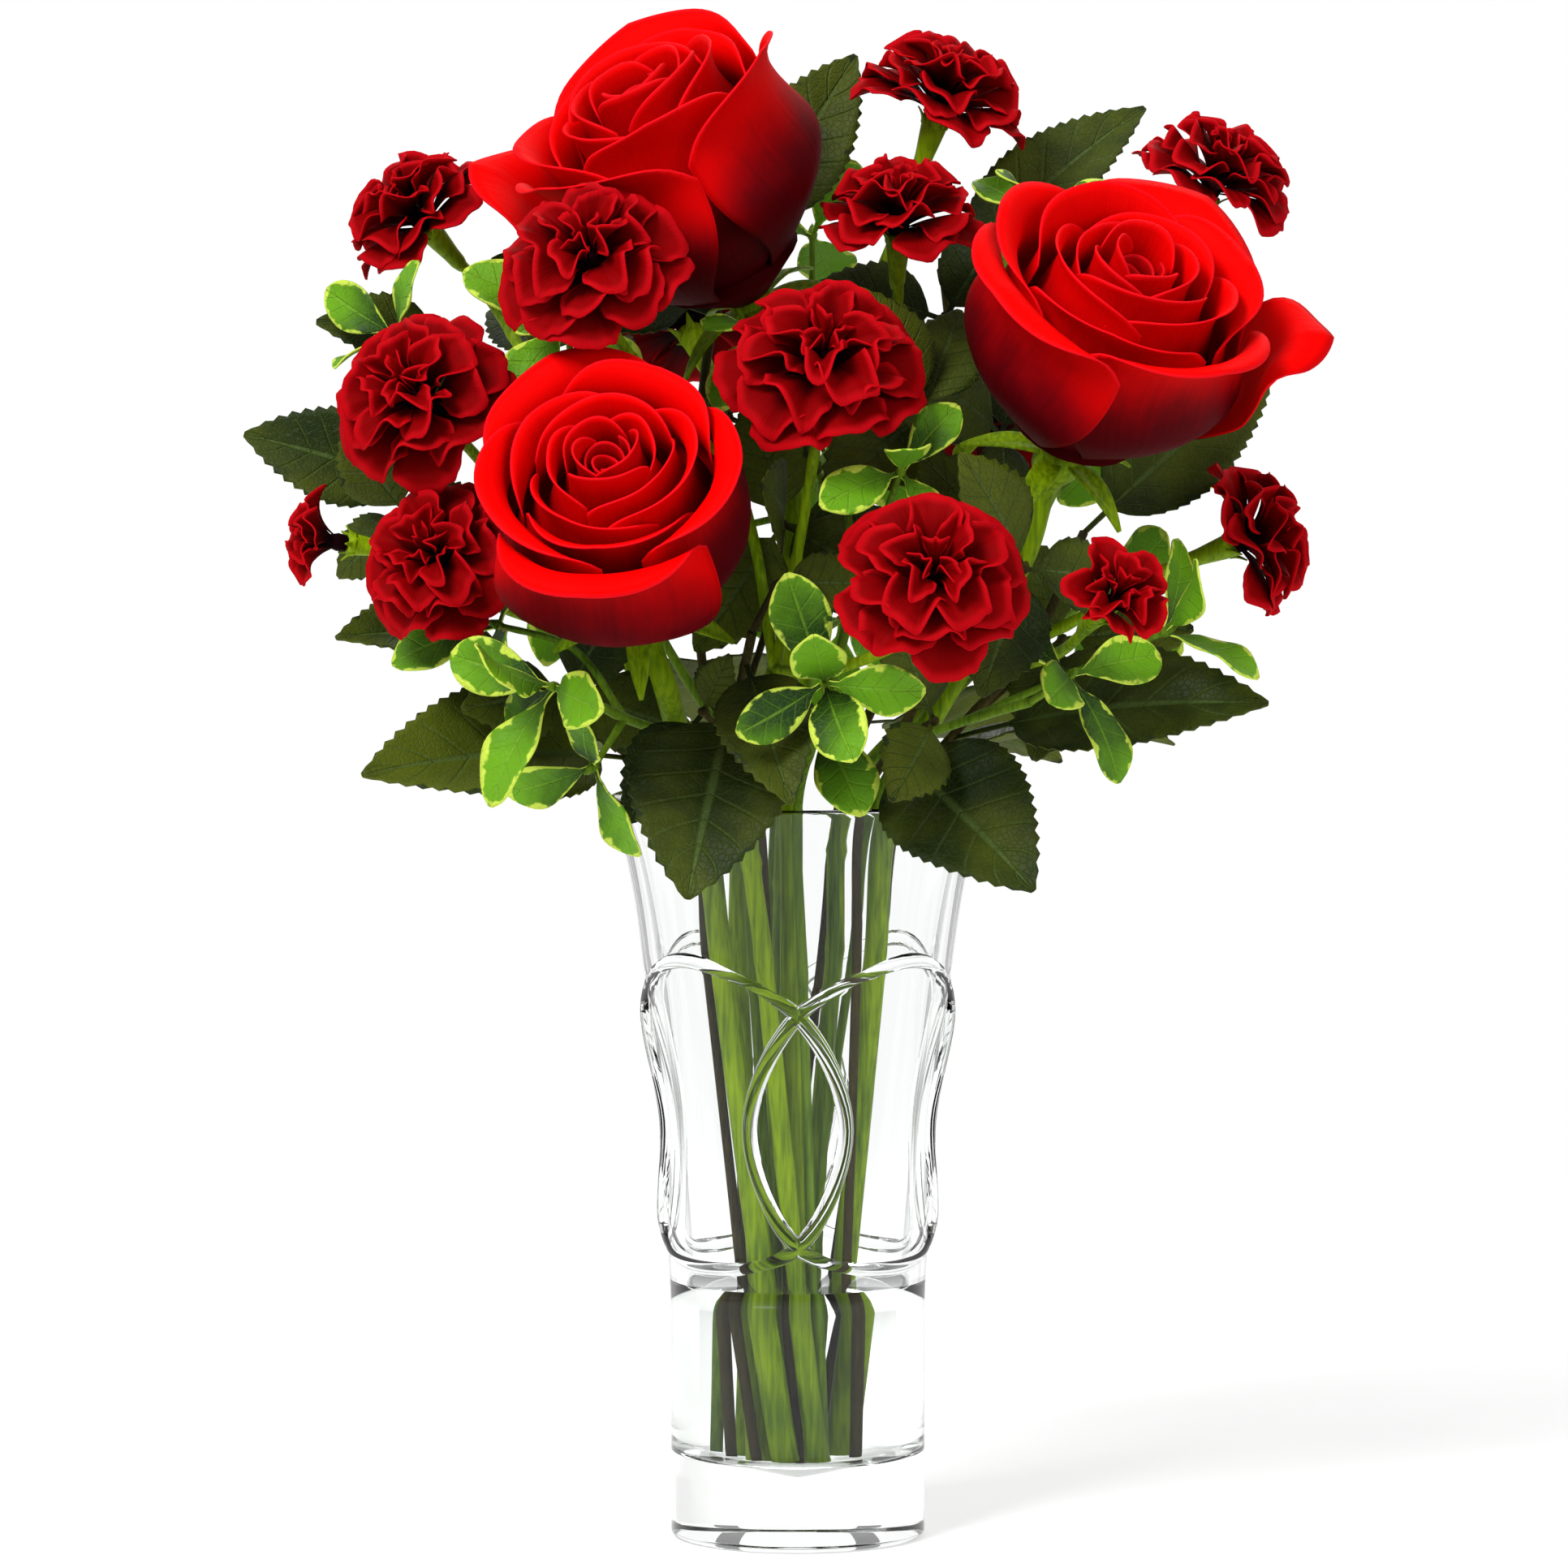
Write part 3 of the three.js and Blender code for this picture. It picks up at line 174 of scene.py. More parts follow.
ROSES = [
    RoseSite(
        name="rose_top", slot=[-2, 1], route=[[-3, 2, 250], [-2, 15, 305]],
        base=[-13, 11, 337], axis=[-0.45, -0.36, 0.82], scale=1.14,
        roll=250, opening=1, stray=322, roll_back=0.55,
    ),
    RoseSite(
        name="rose_right", slot=[25, -6], route=[[46, -3, 240], [62, -8, 270]],
        base=[71, -17, 297], axis=[0.3, -0.55, 0.78], scale=1.07, roll=150, opening=1.08, stray=190,
    ),
    RoseSite(
        name="rose_left", slot=[-26, -8], route=[[-32, -20, 220], [-36, -34, 236]],
        base=[-42, -45, 257], axis=[-0.13, -0.74, 0.66], scale=1.05, roll=275, opening=0.97, facing=-65,
    ),
]
CARNATION_SPRAYS = [
    CarnationSite(
        "carnation_spray_front", [-13, -19], [[-6, -33, 238]],
        blooms=[
            BloomSite("carnation_front", [[12, -62, 241]], [34, -92, 263], [0.1, -0.85, 0.5], 1.06),
            BloomSite("carnation_centre", [[0, -31, 270]], [6, -57, 316], [0.05, -0.72, 0.69], 1.14),
            BloomSite("carnation_under_rose", [[-16, -22, 285]], [-53, -51, 343], [-0.2, -0.72, 0.66], 1.06),
        ],
    ),
    CarnationSite(
        "carnation_spray_right", [14, 14], [[46, 14, 234]],
        blooms=[
            BloomSite("carnation_small", [[60, -14, 238]], [80, -64, 256], [0.35, -0.8, 0.45], 0.84, [1, 2]),
            BloomSite("carnation_far_right", [[76, 12, 249]], [118, 2, 270], [0.92, -0.15, 0.35], 0.9),
            BloomSite(
                "carnation_high_right", [[66, 26, 275], [84, 32, 315]], [112, 31, 364],
                [0.4, -0.2, 0.9], 0.94,
            ),
        ],
    ),
    CarnationSite(
        "carnation_spray_left", [-19, 10], [[-46, 8, 238]],
        blooms=[
            BloomSite("carnation_low_left", [[-66, -4, 248]], [-93, -38, 266], [-0.35, -0.82, 0.4], 0.93),
            BloomSite("carnation_bud", [[-80, 5, 254]], [-121, -14, 271], [-0.93, -0.2, 0.15], 0.72, [1, 2]),
            BloomSite("carnation_mid_left", [[-64, 8, 266]], [-98, -30, 308], [-0.4, -0.78, 0.48], 1.05),
            BloomSite(
                "carnation_high_left", [[-60, 20, 285], [-72, 24, 315]], [-101, 28, 355],
                [-0.62, -0.3, 0.72], 0.9,
            ),
        ],
    ),
    CarnationSite(
        "carnation_spray_back", [-3, 24], [[4, 30, 245], [8, 30, 285]],
        blooms=[
            BloomSite("carnation_top", [[18, 38, 330]], [38, 36, 385], [0.3, -0.18, 0.93], 1.0),
            BloomSite("carnation_between", [[20, 18, 312]], [27, -8, 354], [0.02, -0.3, 0.95], 0.92),
            BloomSite("carnation_back_left", [[-8, 52, 300]], [-30, 76, 325], [-0.3, 0.72, 0.62], 0.98),
            BloomSite("carnation_back_right", [[26, 54, 285]], [50, 82, 298], [0.35, 0.8, 0.48], 0.94),
        ],
    ),
]
LEAF_SPRAYS = [
    LeafSpraySite(
        "dark_leaves_front_left", Foliage.DARK, [-11, -8],
        trunk=[[-19, -27, 219], [-15, -48, 236], [-12, -58, 250]],
        leaves=[
            LeafSite(0.55, [-29, -78, 181], 44, [-0.1, -0.95, 0.3]),
            LeafSite(0.8, [0, -70, 197], 26, [0, -0.95, 0.2]),
        ],
        whorls=[
            WhorlSite(2, [], [-6, -56, 262], [0.5, -0.7, 0.5], 4, 34),
            WhorlSite(0, [], [-25, -46, 228], [-0.3, -0.95, 0.1], 4, 36),
            WhorlSite(0, [[-8, -14, 250]], [-4, -14, 276], [0.1, -0.9, 0.3], 6, 42),
        ],
    ),
    LeafSpraySite(
        "dark_leaves_front_right", Foliage.DARK, [17, -20],
        trunk=[[26, -38, 219], [36, -46, 238], [50, -44, 256]],
        leaves=[LeafSite(0.3, [62, -76, 183], 40, [0.1, -0.95, 0.3])],
        whorls=[
            WhorlSite(2, [], [60, -46, 266], [0.15, -0.8, 0.5], 5, 42),
            WhorlSite(1, [[34, -30, 272]], [34, -14, 306], [0.1, -0.7, 0.6], 5, 42),
            WhorlSite(0, [], [36, -52, 226], [0.2, -0.95, 0.1], 4, 36),
        ],
    ),
    LeafSpraySite(
        "dark_leaves_right", Foliage.DARK, [29, 10], trunk=[[44, 5, 220], [62, 2, 240], [78, 22, 272]],
        leaves=[
            LeafSite(0.28, [126, -28, 229], 36, [0.1, -0.75, 0.65]),
            LeafSite(0.2, [104, 50, 212], 32, [0.3, 0.3, 0.9]),
            LeafSite(1, [137, 33, 306], 32, [0, -0.9, 0.45]),
        ],
        whorls=[WhorlSite(0, [], [72, 20, 243], [0.2, -0.9, 0.3], 5, 42)],
    ),
    LeafSpraySite(
        "dark_leaves_left", Foliage.DARK, [-30, 6],
        trunk=[[-50, 0, 216], [-76, 6, 236], [-98, 16, 262], [-101, 25, 294], [-95, 28, 324]],
        leaves=[
            LeafSite(0.15, [-116, -44, 211], 40, [-0.1, -0.8, 0.6]),
            LeafSite(0.2, [-104, 50, 210], 32, [-0.3, 0.3, 0.9]),
            LeafSite(0.45, [-124, -20, 246], 24, [-0.1, -0.7, 0.7]),
            LeafSite(0.74, [-151, 21, 299], 27, [0, -0.95, 0.3]),
            LeafSite(1, [-127, 22, 343], 19, [-0.2, -0.9, 0.4]),
        ],
        whorls=[
            WhorlSite(2, [], [-106, 6, 278], [-0.3, -0.9, 0.1], 4, 34),
            WhorlSite(0, [], [-62, -8, 230], [-0.2, -0.95, 0.2], 5, 38),
        ],
    ),
    LeafSpraySite(
        "dark_leaves_back_left", Foliage.DARK, [-18, 25],
        trunk=[[-26, 44, 232], [-28, 52, 275], [-24, 50, 325], [-16, 46, 350]],
        leaves=[
            LeafSite(0.15, [-76, 92, 202], 36, [-0.3, 0.7, 0.6]),
            LeafSite(0.28, [-22, 112, 208], 36, [0, 0.8, 0.5]),
            LeafSite(0.8, [-84, 34, 346], 30, [-0.3, -0.8, 0.4]),
            LeafSite(1, [16, 60, 402], 28, [0.1, -0.95, 0.2]),
        ],
        whorls=[
            WhorlSite(1, [[-44, 40, 300]], [-58, 30, 322], [-0.4, -0.3, 0.8], 4, 40),
            WhorlSite(1, [[-20, 32, 294]], [-19, 14, 304], [0.1, -0.9, 0.3], 5, 42),
        ],
    ),
    LeafSpraySite(
        "dark_leaves_back_right", Foliage.DARK, [12, 31],
        trunk=[[24, 48, 232], [36, 56, 275], [42, 54, 318], [40, 46, 344]],
        leaves=[
            LeafSite(0.15, [74, 90, 204], 36, [0.3, 0.7, 0.6]),
            LeafSite(0.7, [98, 76, 330], 30, [0.4, 0.6, 0.6]),
            LeafSite(0.95, [85, 34, 397], 27, [-0.3, -0.85, 0.4]),
        ],
        whorls=[
            WhorlSite(1, [], [56, 34, 298], [0.3, -0.8, 0.4], 5, 42),
            WhorlSite(2, [], [40, 24, 330], [-0.1, -0.8, 0.5], 5, 40),
        ],
    ),
    LeafSpraySite(
        "cream_leaves_front_left", Foliage.CREAM, [-15.5, -1.5],
        trunk=[[-30, -24, 218], [-46, -42, 226], [-54, -54, 231]],
        whorls=[
            WhorlSite(2, [], [-64, -66, 236], [-0.7, -0.65, 0.15], 7, 36),
            WhorlSite(1, [], [-54, -52, 214], [-0.6, -0.6, -0.5], 3, 27),
            WhorlSite(1, [[-60, -34, 244]], [-80, -30, 250], [-0.7, -0.6, 0.3], 6, 33),
        ],
    ),
    LeafSpraySite(
        "cream_leaves_front_middle", Foliage.CREAM, [0, -14], trunk=[[5, -38, 221], [8, -56, 226]],
        leaves=[LeafSite(0.7, [17, -66, 202], 17, [0.1, -0.95, 0.2])],
        whorls=[
            WhorlSite(1, [], [7, -78, 238], [0, -0.93, -0.2], 6, 32),
            WhorlSite(0, [[17, -40, 262]], [27, -58, 292], [0.1, -0.8, 0.5], 5, 28),
            WhorlSite(0, [[14, -34, 262], [9, -18, 298]], [-10, -22, 328], [-0.2, -0.6, 0.7], 5, 28),
        ],
    ),
    LeafSpraySite(
        "cream_leaves_right", Foliage.CREAM, [12, 1],
        trunk=[[22, -14, 214], [44, -28, 224], [62, -38, 230]],
        whorls=[
            WhorlSite(2, [], [72, -50, 238], [0.6, -0.6, 0.5], 6, 34),
            WhorlSite(1, [[72, -24, 236]], [98, -28, 248], [0.8, -0.4, 0.4], 5, 33),
        ],
    ),
    LeafSpraySite(
        "cream_leaves_left", Foliage.CREAM, [-5, 12],
        trunk=[[-24, 24, 222], [-46, 27, 260], [-60, 6, 302]],
        whorls=[
            WhorlSite(2, [], [-62, -6, 330], [-0.1, -0.75, 0.6], 6, 32),
            WhorlSite(2, [[-82, 5, 318]], [-108, 4, 326], [-0.8, -0.45, 0.3], 5, 28),
            WhorlSite(1, [], [-74, 44, 272], [-0.7, 0.6, 0.2], 6, 34),
        ],
    ),
    LeafSpraySite(
        "cream_leaves_back_right", Foliage.CREAM, [22, 26],
        trunk=[[48, 40, 236], [64, 48, 275], [70, 44, 318]],
        whorls=[
            WhorlSite(0, [], [80, 62, 250], [0.7, 0.65, 0], 5, 35),
            WhorlSite(1, [], [88, 66, 296], [0.6, 0.7, 0.3], 5, 34),
            WhorlSite(2, [], [66, 20, 356], [0.1, -0.5, 0.85], 5, 29),
        ],
    ),
    LeafSpraySite(
        "cream_leaves_back", Foliage.CREAM, [-6, 37], trunk=[[-4, 58, 236], [0, 68, 275], [4, 62, 325]],
        whorls=[
            WhorlSite(0, [], [12, 88, 244], [0.1, 0.95, 0], 5, 35),
            WhorlSite(1, [], [8, 94, 290], [0.1, 0.9, 0.4], 6, 34),
            WhorlSite(2, [], [4, 68, 352], [0, 0.6, 0.8], 5, 33),
            WhorlSite(1, [[-30, 72, 268]], [-58, 74, 262], [-0.6, 0.75, 0.2], 5, 34),
        ],
    ),
]

# A leaf that would touch something tries these turns, in degrees: across its face, and up or down.
BENDS = [
    (0, 0), (10, 0), (-10, 0), (0, 10), (0, -10), (12, 12), (-12, 12), (12, -12), (-12, -12),
    (22, 0), (-22, 0), (0, 22), (0, -22), (24, 16), (-24, 16), (24, -16), (-24, -16),
    (36, 0), (-36, 0), (0, 36), (0, -36), (40, 24), (-40, 24), (40, -24), (-40, -24),
]
BEND_SHARES = (1.0, 0.8, 0.64)


def clamp(value: float, low: float = 0.0, high: float = 1.0) -> float:
    """Keeps a value between two others."""
    return min(high, max(low, value))


def smooth(value: float) -> float:
    """Eases from 0 to 1."""
    t = clamp(value)
    return t * t * (3 - 2 * t)


def quarter_wave(value: float) -> float:
    """Rises from 0 to 1 as the first quarter of a wave does."""
    return math.sin(clamp(value) * math.pi / 2)


def around(r: float, angle: float, z: float) -> Vector:
    """The place at a distance from the Z axis, at an angle round it and at a height."""
    return Vector((r * math.cos(angle), r * math.sin(angle), z))


def looking(base: Numbers, axis: Numbers, roll: float = 0.0) -> Matrix:
    """Axes for something that looks along `axis`.

    Args:
        base: where its origin is.
        axis: the way its Z points.
        roll: degrees that it is turned about its Z.

    Returns:
        The matrix from its own axes to the bouquet's.
    """
    z = Vector(axis).normalized()
    x = UP.cross(z).normalized()
    y = z.cross(x)
    frame = Matrix((x, y, z)).transposed().to_4x4()
    return Matrix.Translation(base) @ frame @ Matrix.Rotation(math.radians(roll), 4, "Z")


class StemCurve:
    """A smooth centripetal curve through a list of points."""

    divisions = 200

    def __init__(self, points: Points, closed: bool = False) -> None:
        """Keeps the points and the corners past its ends, which are mirrored past an open end.

        Args:
            points: the points that the curve passes.
            closed: whether it comes back to its first point.
        """
        places = [Vector(point) for point in points]
        self.stretches = len(places) if closed else len(places) - 1
        before = places[-1] if closed else places[0] * 2 - places[1]
        after = places[:2] if closed else [places[-1] * 2 - places[-2]]
        self.corners = [before, *places, *after]

    def point(self, t: float) -> Vector:
        """The place at a share of the curve's stretches.

        Args:
            t: the share, from 0 to 1.

        Returns:
            The place.
        """
        place = t * self.stretches
        index = min(int(place), self.stretches - 1)
        w = place - index
        p0, p1, p2, p3 = self.corners[index : index + 4]
        d1 = (p2 - p1).length ** 0.5 or 1.0
        d0 = (p1 - p0).length ** 0.5 or d1
        d2 = (p3 - p2).length ** 0.5 or d1
        t1 = ((p1 - p0) / d0 - (p2 - p0) / (d0 + d1) + (p2 - p1) / d1) * d1
        t2 = ((p2 - p1) / d1 - (p3 - p1) / (d1 + d2) + (p3 - p2) / d2) * d1
        square = -3 * p1 + 3 * p2 - 2 * t1 - t2
        cube = 2 * p1 - 2 * p2 + t1 + t2
        return p1 + t1 * w + square * w**2 + cube * w**3

    def line(self, steps: int) -> list[Vector]:
        """Places along the curve, `steps` to each stretch."""
        count = steps * self.stretches
        return [self.point(i / count) for i in range(count + 1)]

    def even_line(self, spacing: float) -> list[Vector]:
        """Places at even distances along the curve.

        Args:
            spacing: the greatest distance from one to the next.

        Returns:
            The places, with both ends.
        """
        shares = [i / self.divisions for i in range(self.divisions + 1)]
        places = [self.point(share) for share in shares]
        lengths = [0.0]
        for a, b in zip(places, places[1:]):
            lengths.append(lengths[-1] + (b - a).length)
        count = math.ceil(lengths[-1] / spacing)
        wanted = [i / count * lengths[-1] for i in range(count + 1)]
        return [self.point(float(share)) for share in np.interp(wanted, lengths, shares)]


class Skin:
    """One piece's surfaces, gathered in one mesh in millimetres."""

    seam = 1e-4

    def __init__(self) -> None:
        """Starts an empty mesh with a UV map, and for each point a shade and its side."""
        self.mesh = bmesh.new()
        self.mesh.loops.layers.uv.new("UVMap")
        self.shade = self.mesh.verts.layers.float.new("shade")
        self.drawn = self.mesh.verts.layers.float.new("drawn_side")

    def sheet(
        self, columns: int, rows: int, place: Place, shade: float = 0.5, material: int = 0
    ) -> list[bmesh.types.BMVert]:
        """Adds an open sheet.

        Args:
            columns: faces across it.
            rows: faces along it.
            place: the place of (u, v), with u from -1 to 1 across and v from 0 to 1 along.
            shade: a number that its finish may read.
            material: the number of its finish.

        Returns:
            The sheet's points.
        """
        grid = bmesh.ops.create_grid(self.mesh, x_segments=columns, y_segments=rows, size=1, calc_uvs=True)
        for vert in grid["verts"]:
            vert[self.shade] = shade
            vert.co = place(vert.co.x, (vert.co.y + 1) / 2)
        for face in {face for vert in grid["verts"] for face in vert.link_faces}:
            face.material_index = material
        return grid["verts"]

    def thicken(self, thickness: float) -> None:
        """Gives every sheet so far a closed thickness, and marks the side that it was drawn on.

        Args:
            thickness: how thick the sheets become.
        """
        self.mesh.normal_update()
        drawn = {vert.co.to_tuple(5) for vert in self.mesh.verts}
        bmesh.ops.solidify(self.mesh, geom=self.mesh.faces[:], thickness=thickness)
        for vert in self.mesh.verts:
            vert[self.drawn] = 1.0 if vert.co.to_tuple(5) in drawn else 0.0

    def close(self, verts: list[bmesh.types.BMVert], material: int) -> None:
        """Merges a rolled sheet's seam, fills its ends and turns its faces outward.

        Args:
            verts: the sheet's points.
            material: the number of its finish.
        """
        bmesh.ops.remove_doubles(self.mesh, verts=verts, dist=self.seam)
        kept = [vert for vert in verts if vert.is_valid]
        rims = list({edge for vert in kept for edge in vert.link_edges if edge.is_boundary})
        if rims:
            for face in bmesh.ops.holes_fill(self.mesh, edges=rims, sides=0)["faces"]:
                face.material_index = material
        faces = list({face for vert in kept for face in vert.link_faces})
        bmesh.ops.recalc_face_normals(self.mesh, faces=faces)

    def tube(
        self, line: Sequence[Vector], radius: Callable[[float], float], sides: int, material: int = 0
    ) -> None:
        """Adds a closed round tube along a line of places.

        Args:
            line: its middle line.
            radius: its radius at a share of the line, from 0 to 1.
            sides: faces round it.
            material: the number of its finish.
        """
        rows = len(line) - 1
        ahead = [line[min(k + 1, rows)] - line[max(k - 1, 0)] for k in range(rows + 1)]
        side = ahead[0].orthogonal().normalized()
        frames = []
        for way in ahead:
            way.normalize()
            side = (side - way * side.dot(way)).normalized()
            frames.append((side.copy(), way.cross(side)))

        def place(u: float, v: float) -> Vector:
            """A place on the tube's skin.

            Args:
                u: -1 to 1 round it.
                v: 0 to 1 along it.

            Returns:
                The place.
            """
            row = round(v * rows)
            x, y = frames[row]
            turn = u * math.pi
            return line[row] + (x * math.cos(turn) + y * math.sin(turn)) * radius(v)

        self.close(self.sheet(sides, rows, place, material=material), material)

    def turned(self, profile: Points, sides: int, matrix: Matrix, material: int = 0) -> None:
        """Adds a round body from a profile of (radius, height) that starts and ends on its axis.

        Args:
            profile: the corners of half its section.
            sides: faces round it.
            matrix: where it stands.
            material: the number of its finish.
        """
        for vert in self.mesh.verts:
            vert.tag = True
        corners = [self.mesh.verts.new((r, 0, z)) for r, z in profile]
        edges = [self.mesh.edges.new(pair) for pair in zip(corners, corners[1:])]
        bmesh.ops.spin(
            self.mesh, geom=corners + edges, axis=UP, angle=FULL_TURN, steps=sides, use_merge=True
        )
        verts = [vert for vert in self.mesh.verts if not vert.tag]
        bmesh.ops.transform(self.mesh, matrix=matrix, verts=verts)
        for face in {face for vert in verts for face in vert.link_faces}:
            face.material_index = material
        self.close(verts, material)

    def move(self, matrix: Matrix) -> None:
        """Moves all that has been gathered so far."""
        bmesh.ops.transform(self.mesh, matrix=matrix, verts=self.mesh.verts[:])

    def piece(self, name: str, materials: Sequence[bpy.types.Material]) -> bpy.types.Object:
        """Turns the gathered surfaces into an object in metres.

        Args:
            name: the piece's name.
            materials: its finishes, by number.

        Returns:
            The object, at the origin.
        """
        self.move(Matrix.Scale(MM, 4))
        for face in self.mesh.faces:
            face.smooth = True
        made = mesh_object(name, self.mesh)
        for material in materials:
            made.data.materials.append(material)
        return made


def mesh_object(name: str, mesh: bmesh.types.BMesh) -> bpy.types.Object:
    """Turns a mesh in the making into an object of the scene.

    Args:
        name: the object's name.
        mesh: the mesh, which is freed.

    Returns:
        The object, at the origin.
    """
    data = bpy.data.meshes.new(name)
    mesh.to_mesh(data)
    mesh.free()
    made = bpy.data.objects.new(name, data)
    bpy.context.scene.collection.objects.link(made)
    return made


def stand_for(piece: bpy.types.Object, node: str) -> bpy.types.Object:
    """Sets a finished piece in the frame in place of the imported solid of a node.

    Args:
        piece: the finished piece.
        node: the solid that it stands for.

    Returns:
        The piece.
    """
    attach(piece, "root")
    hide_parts(node)
    return piece


class SubAssembly(ABC):
    """A part of the bouquet that is built as one piece."""

    @abstractmethod
    def build(self) -> bpy.types.Object:
        """Builds the piece, dresses it and sets it in the frame."""


class Wiring:
    """A node tree while it is being wired."""

    def __init__(self, tree: bpy.types.NodeTree) -> None:
        """Keeps the tree."""
        self.tree = tree

    def node(self, kind: str, **settings: object) -> bpy.types.Node:
        """Adds a node.

        Args:
            kind: Blender's name for the node's type.
            **settings: its own settings by name.

        Returns:
            The node.
        """
        made = self.tree.nodes.new(kind)
        for key, value in settings.items():
            setattr(made, key, value)
        return made

    def feed(self, socket: Socket, value: Given) -> None:
        """Links a socket to another, or sets its value.

        Args:
            socket: the input.
            value: the output that it is linked to, or its number or colour.
        """
        if isinstance(value, Socket):
            self.tree.links.new(value, socket)
        elif isinstance(value, tuple) and socket.type == "RGBA" and len(value) == 3:
            socket.default_value = (*value, 1.0)
        else:
            socket.default_value = value

    def fill(self, node: bpy.types.Node, values: dict[str | int, Given]) -> bpy.types.Node:
        """Feeds some of a node's inputs.

        Args:
            node: the node.
            values: what its inputs get, by name or number.

        Returns:
            The node.
        """
        for label, value in values.items():
            self.feed(node.inputs[label], value)
        return node

    def maths(self, operation: str, *values: Given) -> Socket:
        """The result of one of Blender's operations on one to three values."""
        made = self.node("ShaderNodeMath", operation=operation)
        return self.fill(made, dict(enumerate(values))).outputs[0]

    def span(self, value: Given, low: Given, high: Given, start: float = 0.0, end: float = 1.0) -> Socket:
        """A value eased from `start` at `low` to `end` at `high`."""
        made = self.node("ShaderNodeMapRange", interpolation_type="SMOOTHSTEP")
        return self.fill(made, dict(enumerate((value, low, high, start, end)))).outputs[0]

    def about_zero(self, value: Given, amount: float) -> Socket:
        """A value from 0 to 1 brought to between minus and plus half an amount."""
        return self.maths("MULTIPLY_ADD", value, amount, -amount / 2)

    def blend(self, share: Given, first: Given, second: Given) -> Socket:
        """The first colour where the share is 0, the second where it is 1, and between them a blend."""
        made = self.node("ShaderNodeMix", data_type="RGBA")
        return self.fill(made, {0: share, 6: first, 7: second}).outputs[2]

    def cloud(self, vector: Given, scale: Given, detail: float = 2.0) -> Socket:
        """Soft noise from 0 to 1, finer with a greater scale and rougher with more detail."""
        made = self.node("ShaderNodeTexNoise")
        return self.fill(made, {"Vector": vector, "Scale": scale, "Detail": detail}).outputs["Fac"]

    def stretched(self, vector: Given, scale: tuple[float, ...]) -> Socket:
        """Coordinates scaled by different amounts along each axis."""
        return self.fill(self.node("ShaderNodeMapping"), {"Vector": vector, "Scale": scale}).outputs[0]

    def bump(self, height: Given, strength: float, distance: float) -> Socket:
        """A normal raised by a height, where a height of 1 stands out by the distance, in metres."""
        values = {"Strength": strength, "Distance": distance, "Height": height}
        return self.fill(self.node("ShaderNodeBump"), values).outputs[0]

    def place(self) -> Socket:
        """The place on the piece, in metres."""
        return self.node("ShaderNodeTexCoord").outputs["Object"]

    def carried(self, name: str) -> Socket:
        """A number that the piece's points carry."""
        return self.node("ShaderNodeAttribute", attribute_name=name).outputs["Fac"]

    def sheet_shares(self) -> tuple[Socket, Socket, Socket]:
        """Where a place lies on its sheet.

        Returns:
            The UV map, the share along the sheet, and the share from its middle to its sides.
        """
        uv = self.node("ShaderNodeUVMap").outputs[0]
        split = self.fill(self.node("ShaderNodeSeparateXYZ"), {0: uv})
        side = self.maths("ABSOLUTE", self.maths("MULTIPLY_ADD", split.outputs[0], 2.0, -1.0))
        return uv, split.outputs[1], side


class EffectWiring(Wiring):
    """The wiring of a shared effect, which puts out a Color, a Height and a Roughness."""

    def __init__(self, name: str, colours: Sequence[str], numbers: Sequence[str]) -> None:
        """Starts the effect's node group.

        Args:
            name: the group's name.
            colours: its colour inputs.
            numbers: its number inputs.
        """
        group = bpy.data.node_groups.new(name, "ShaderNodeTree")
        inputs = [(label, "Color") for label in colours] + [(label, "Float") for label in numbers]
        for label, kind in inputs:
            group.interface.new_socket(label, in_out="INPUT", socket_type=f"NodeSocket{kind}")
        for label, kind in (("Color", "Color"), ("Height", "Float"), ("Roughness", "Float")):
            group.interface.new_socket(label, in_out="OUTPUT", socket_type=f"NodeSocket{kind}")
        super().__init__(group)
        self.given = self.node("NodeGroupInput").outputs

    def finished(self, colour: Socket, height: Socket, roughness: Socket) -> bpy.types.NodeTree:
        """The effect's group, with its results put out."""
        results = {"Color": colour, "Height": height, "Roughness": roughness}
        return self.fill(self.node("NodeGroupOutput"), results).id_data


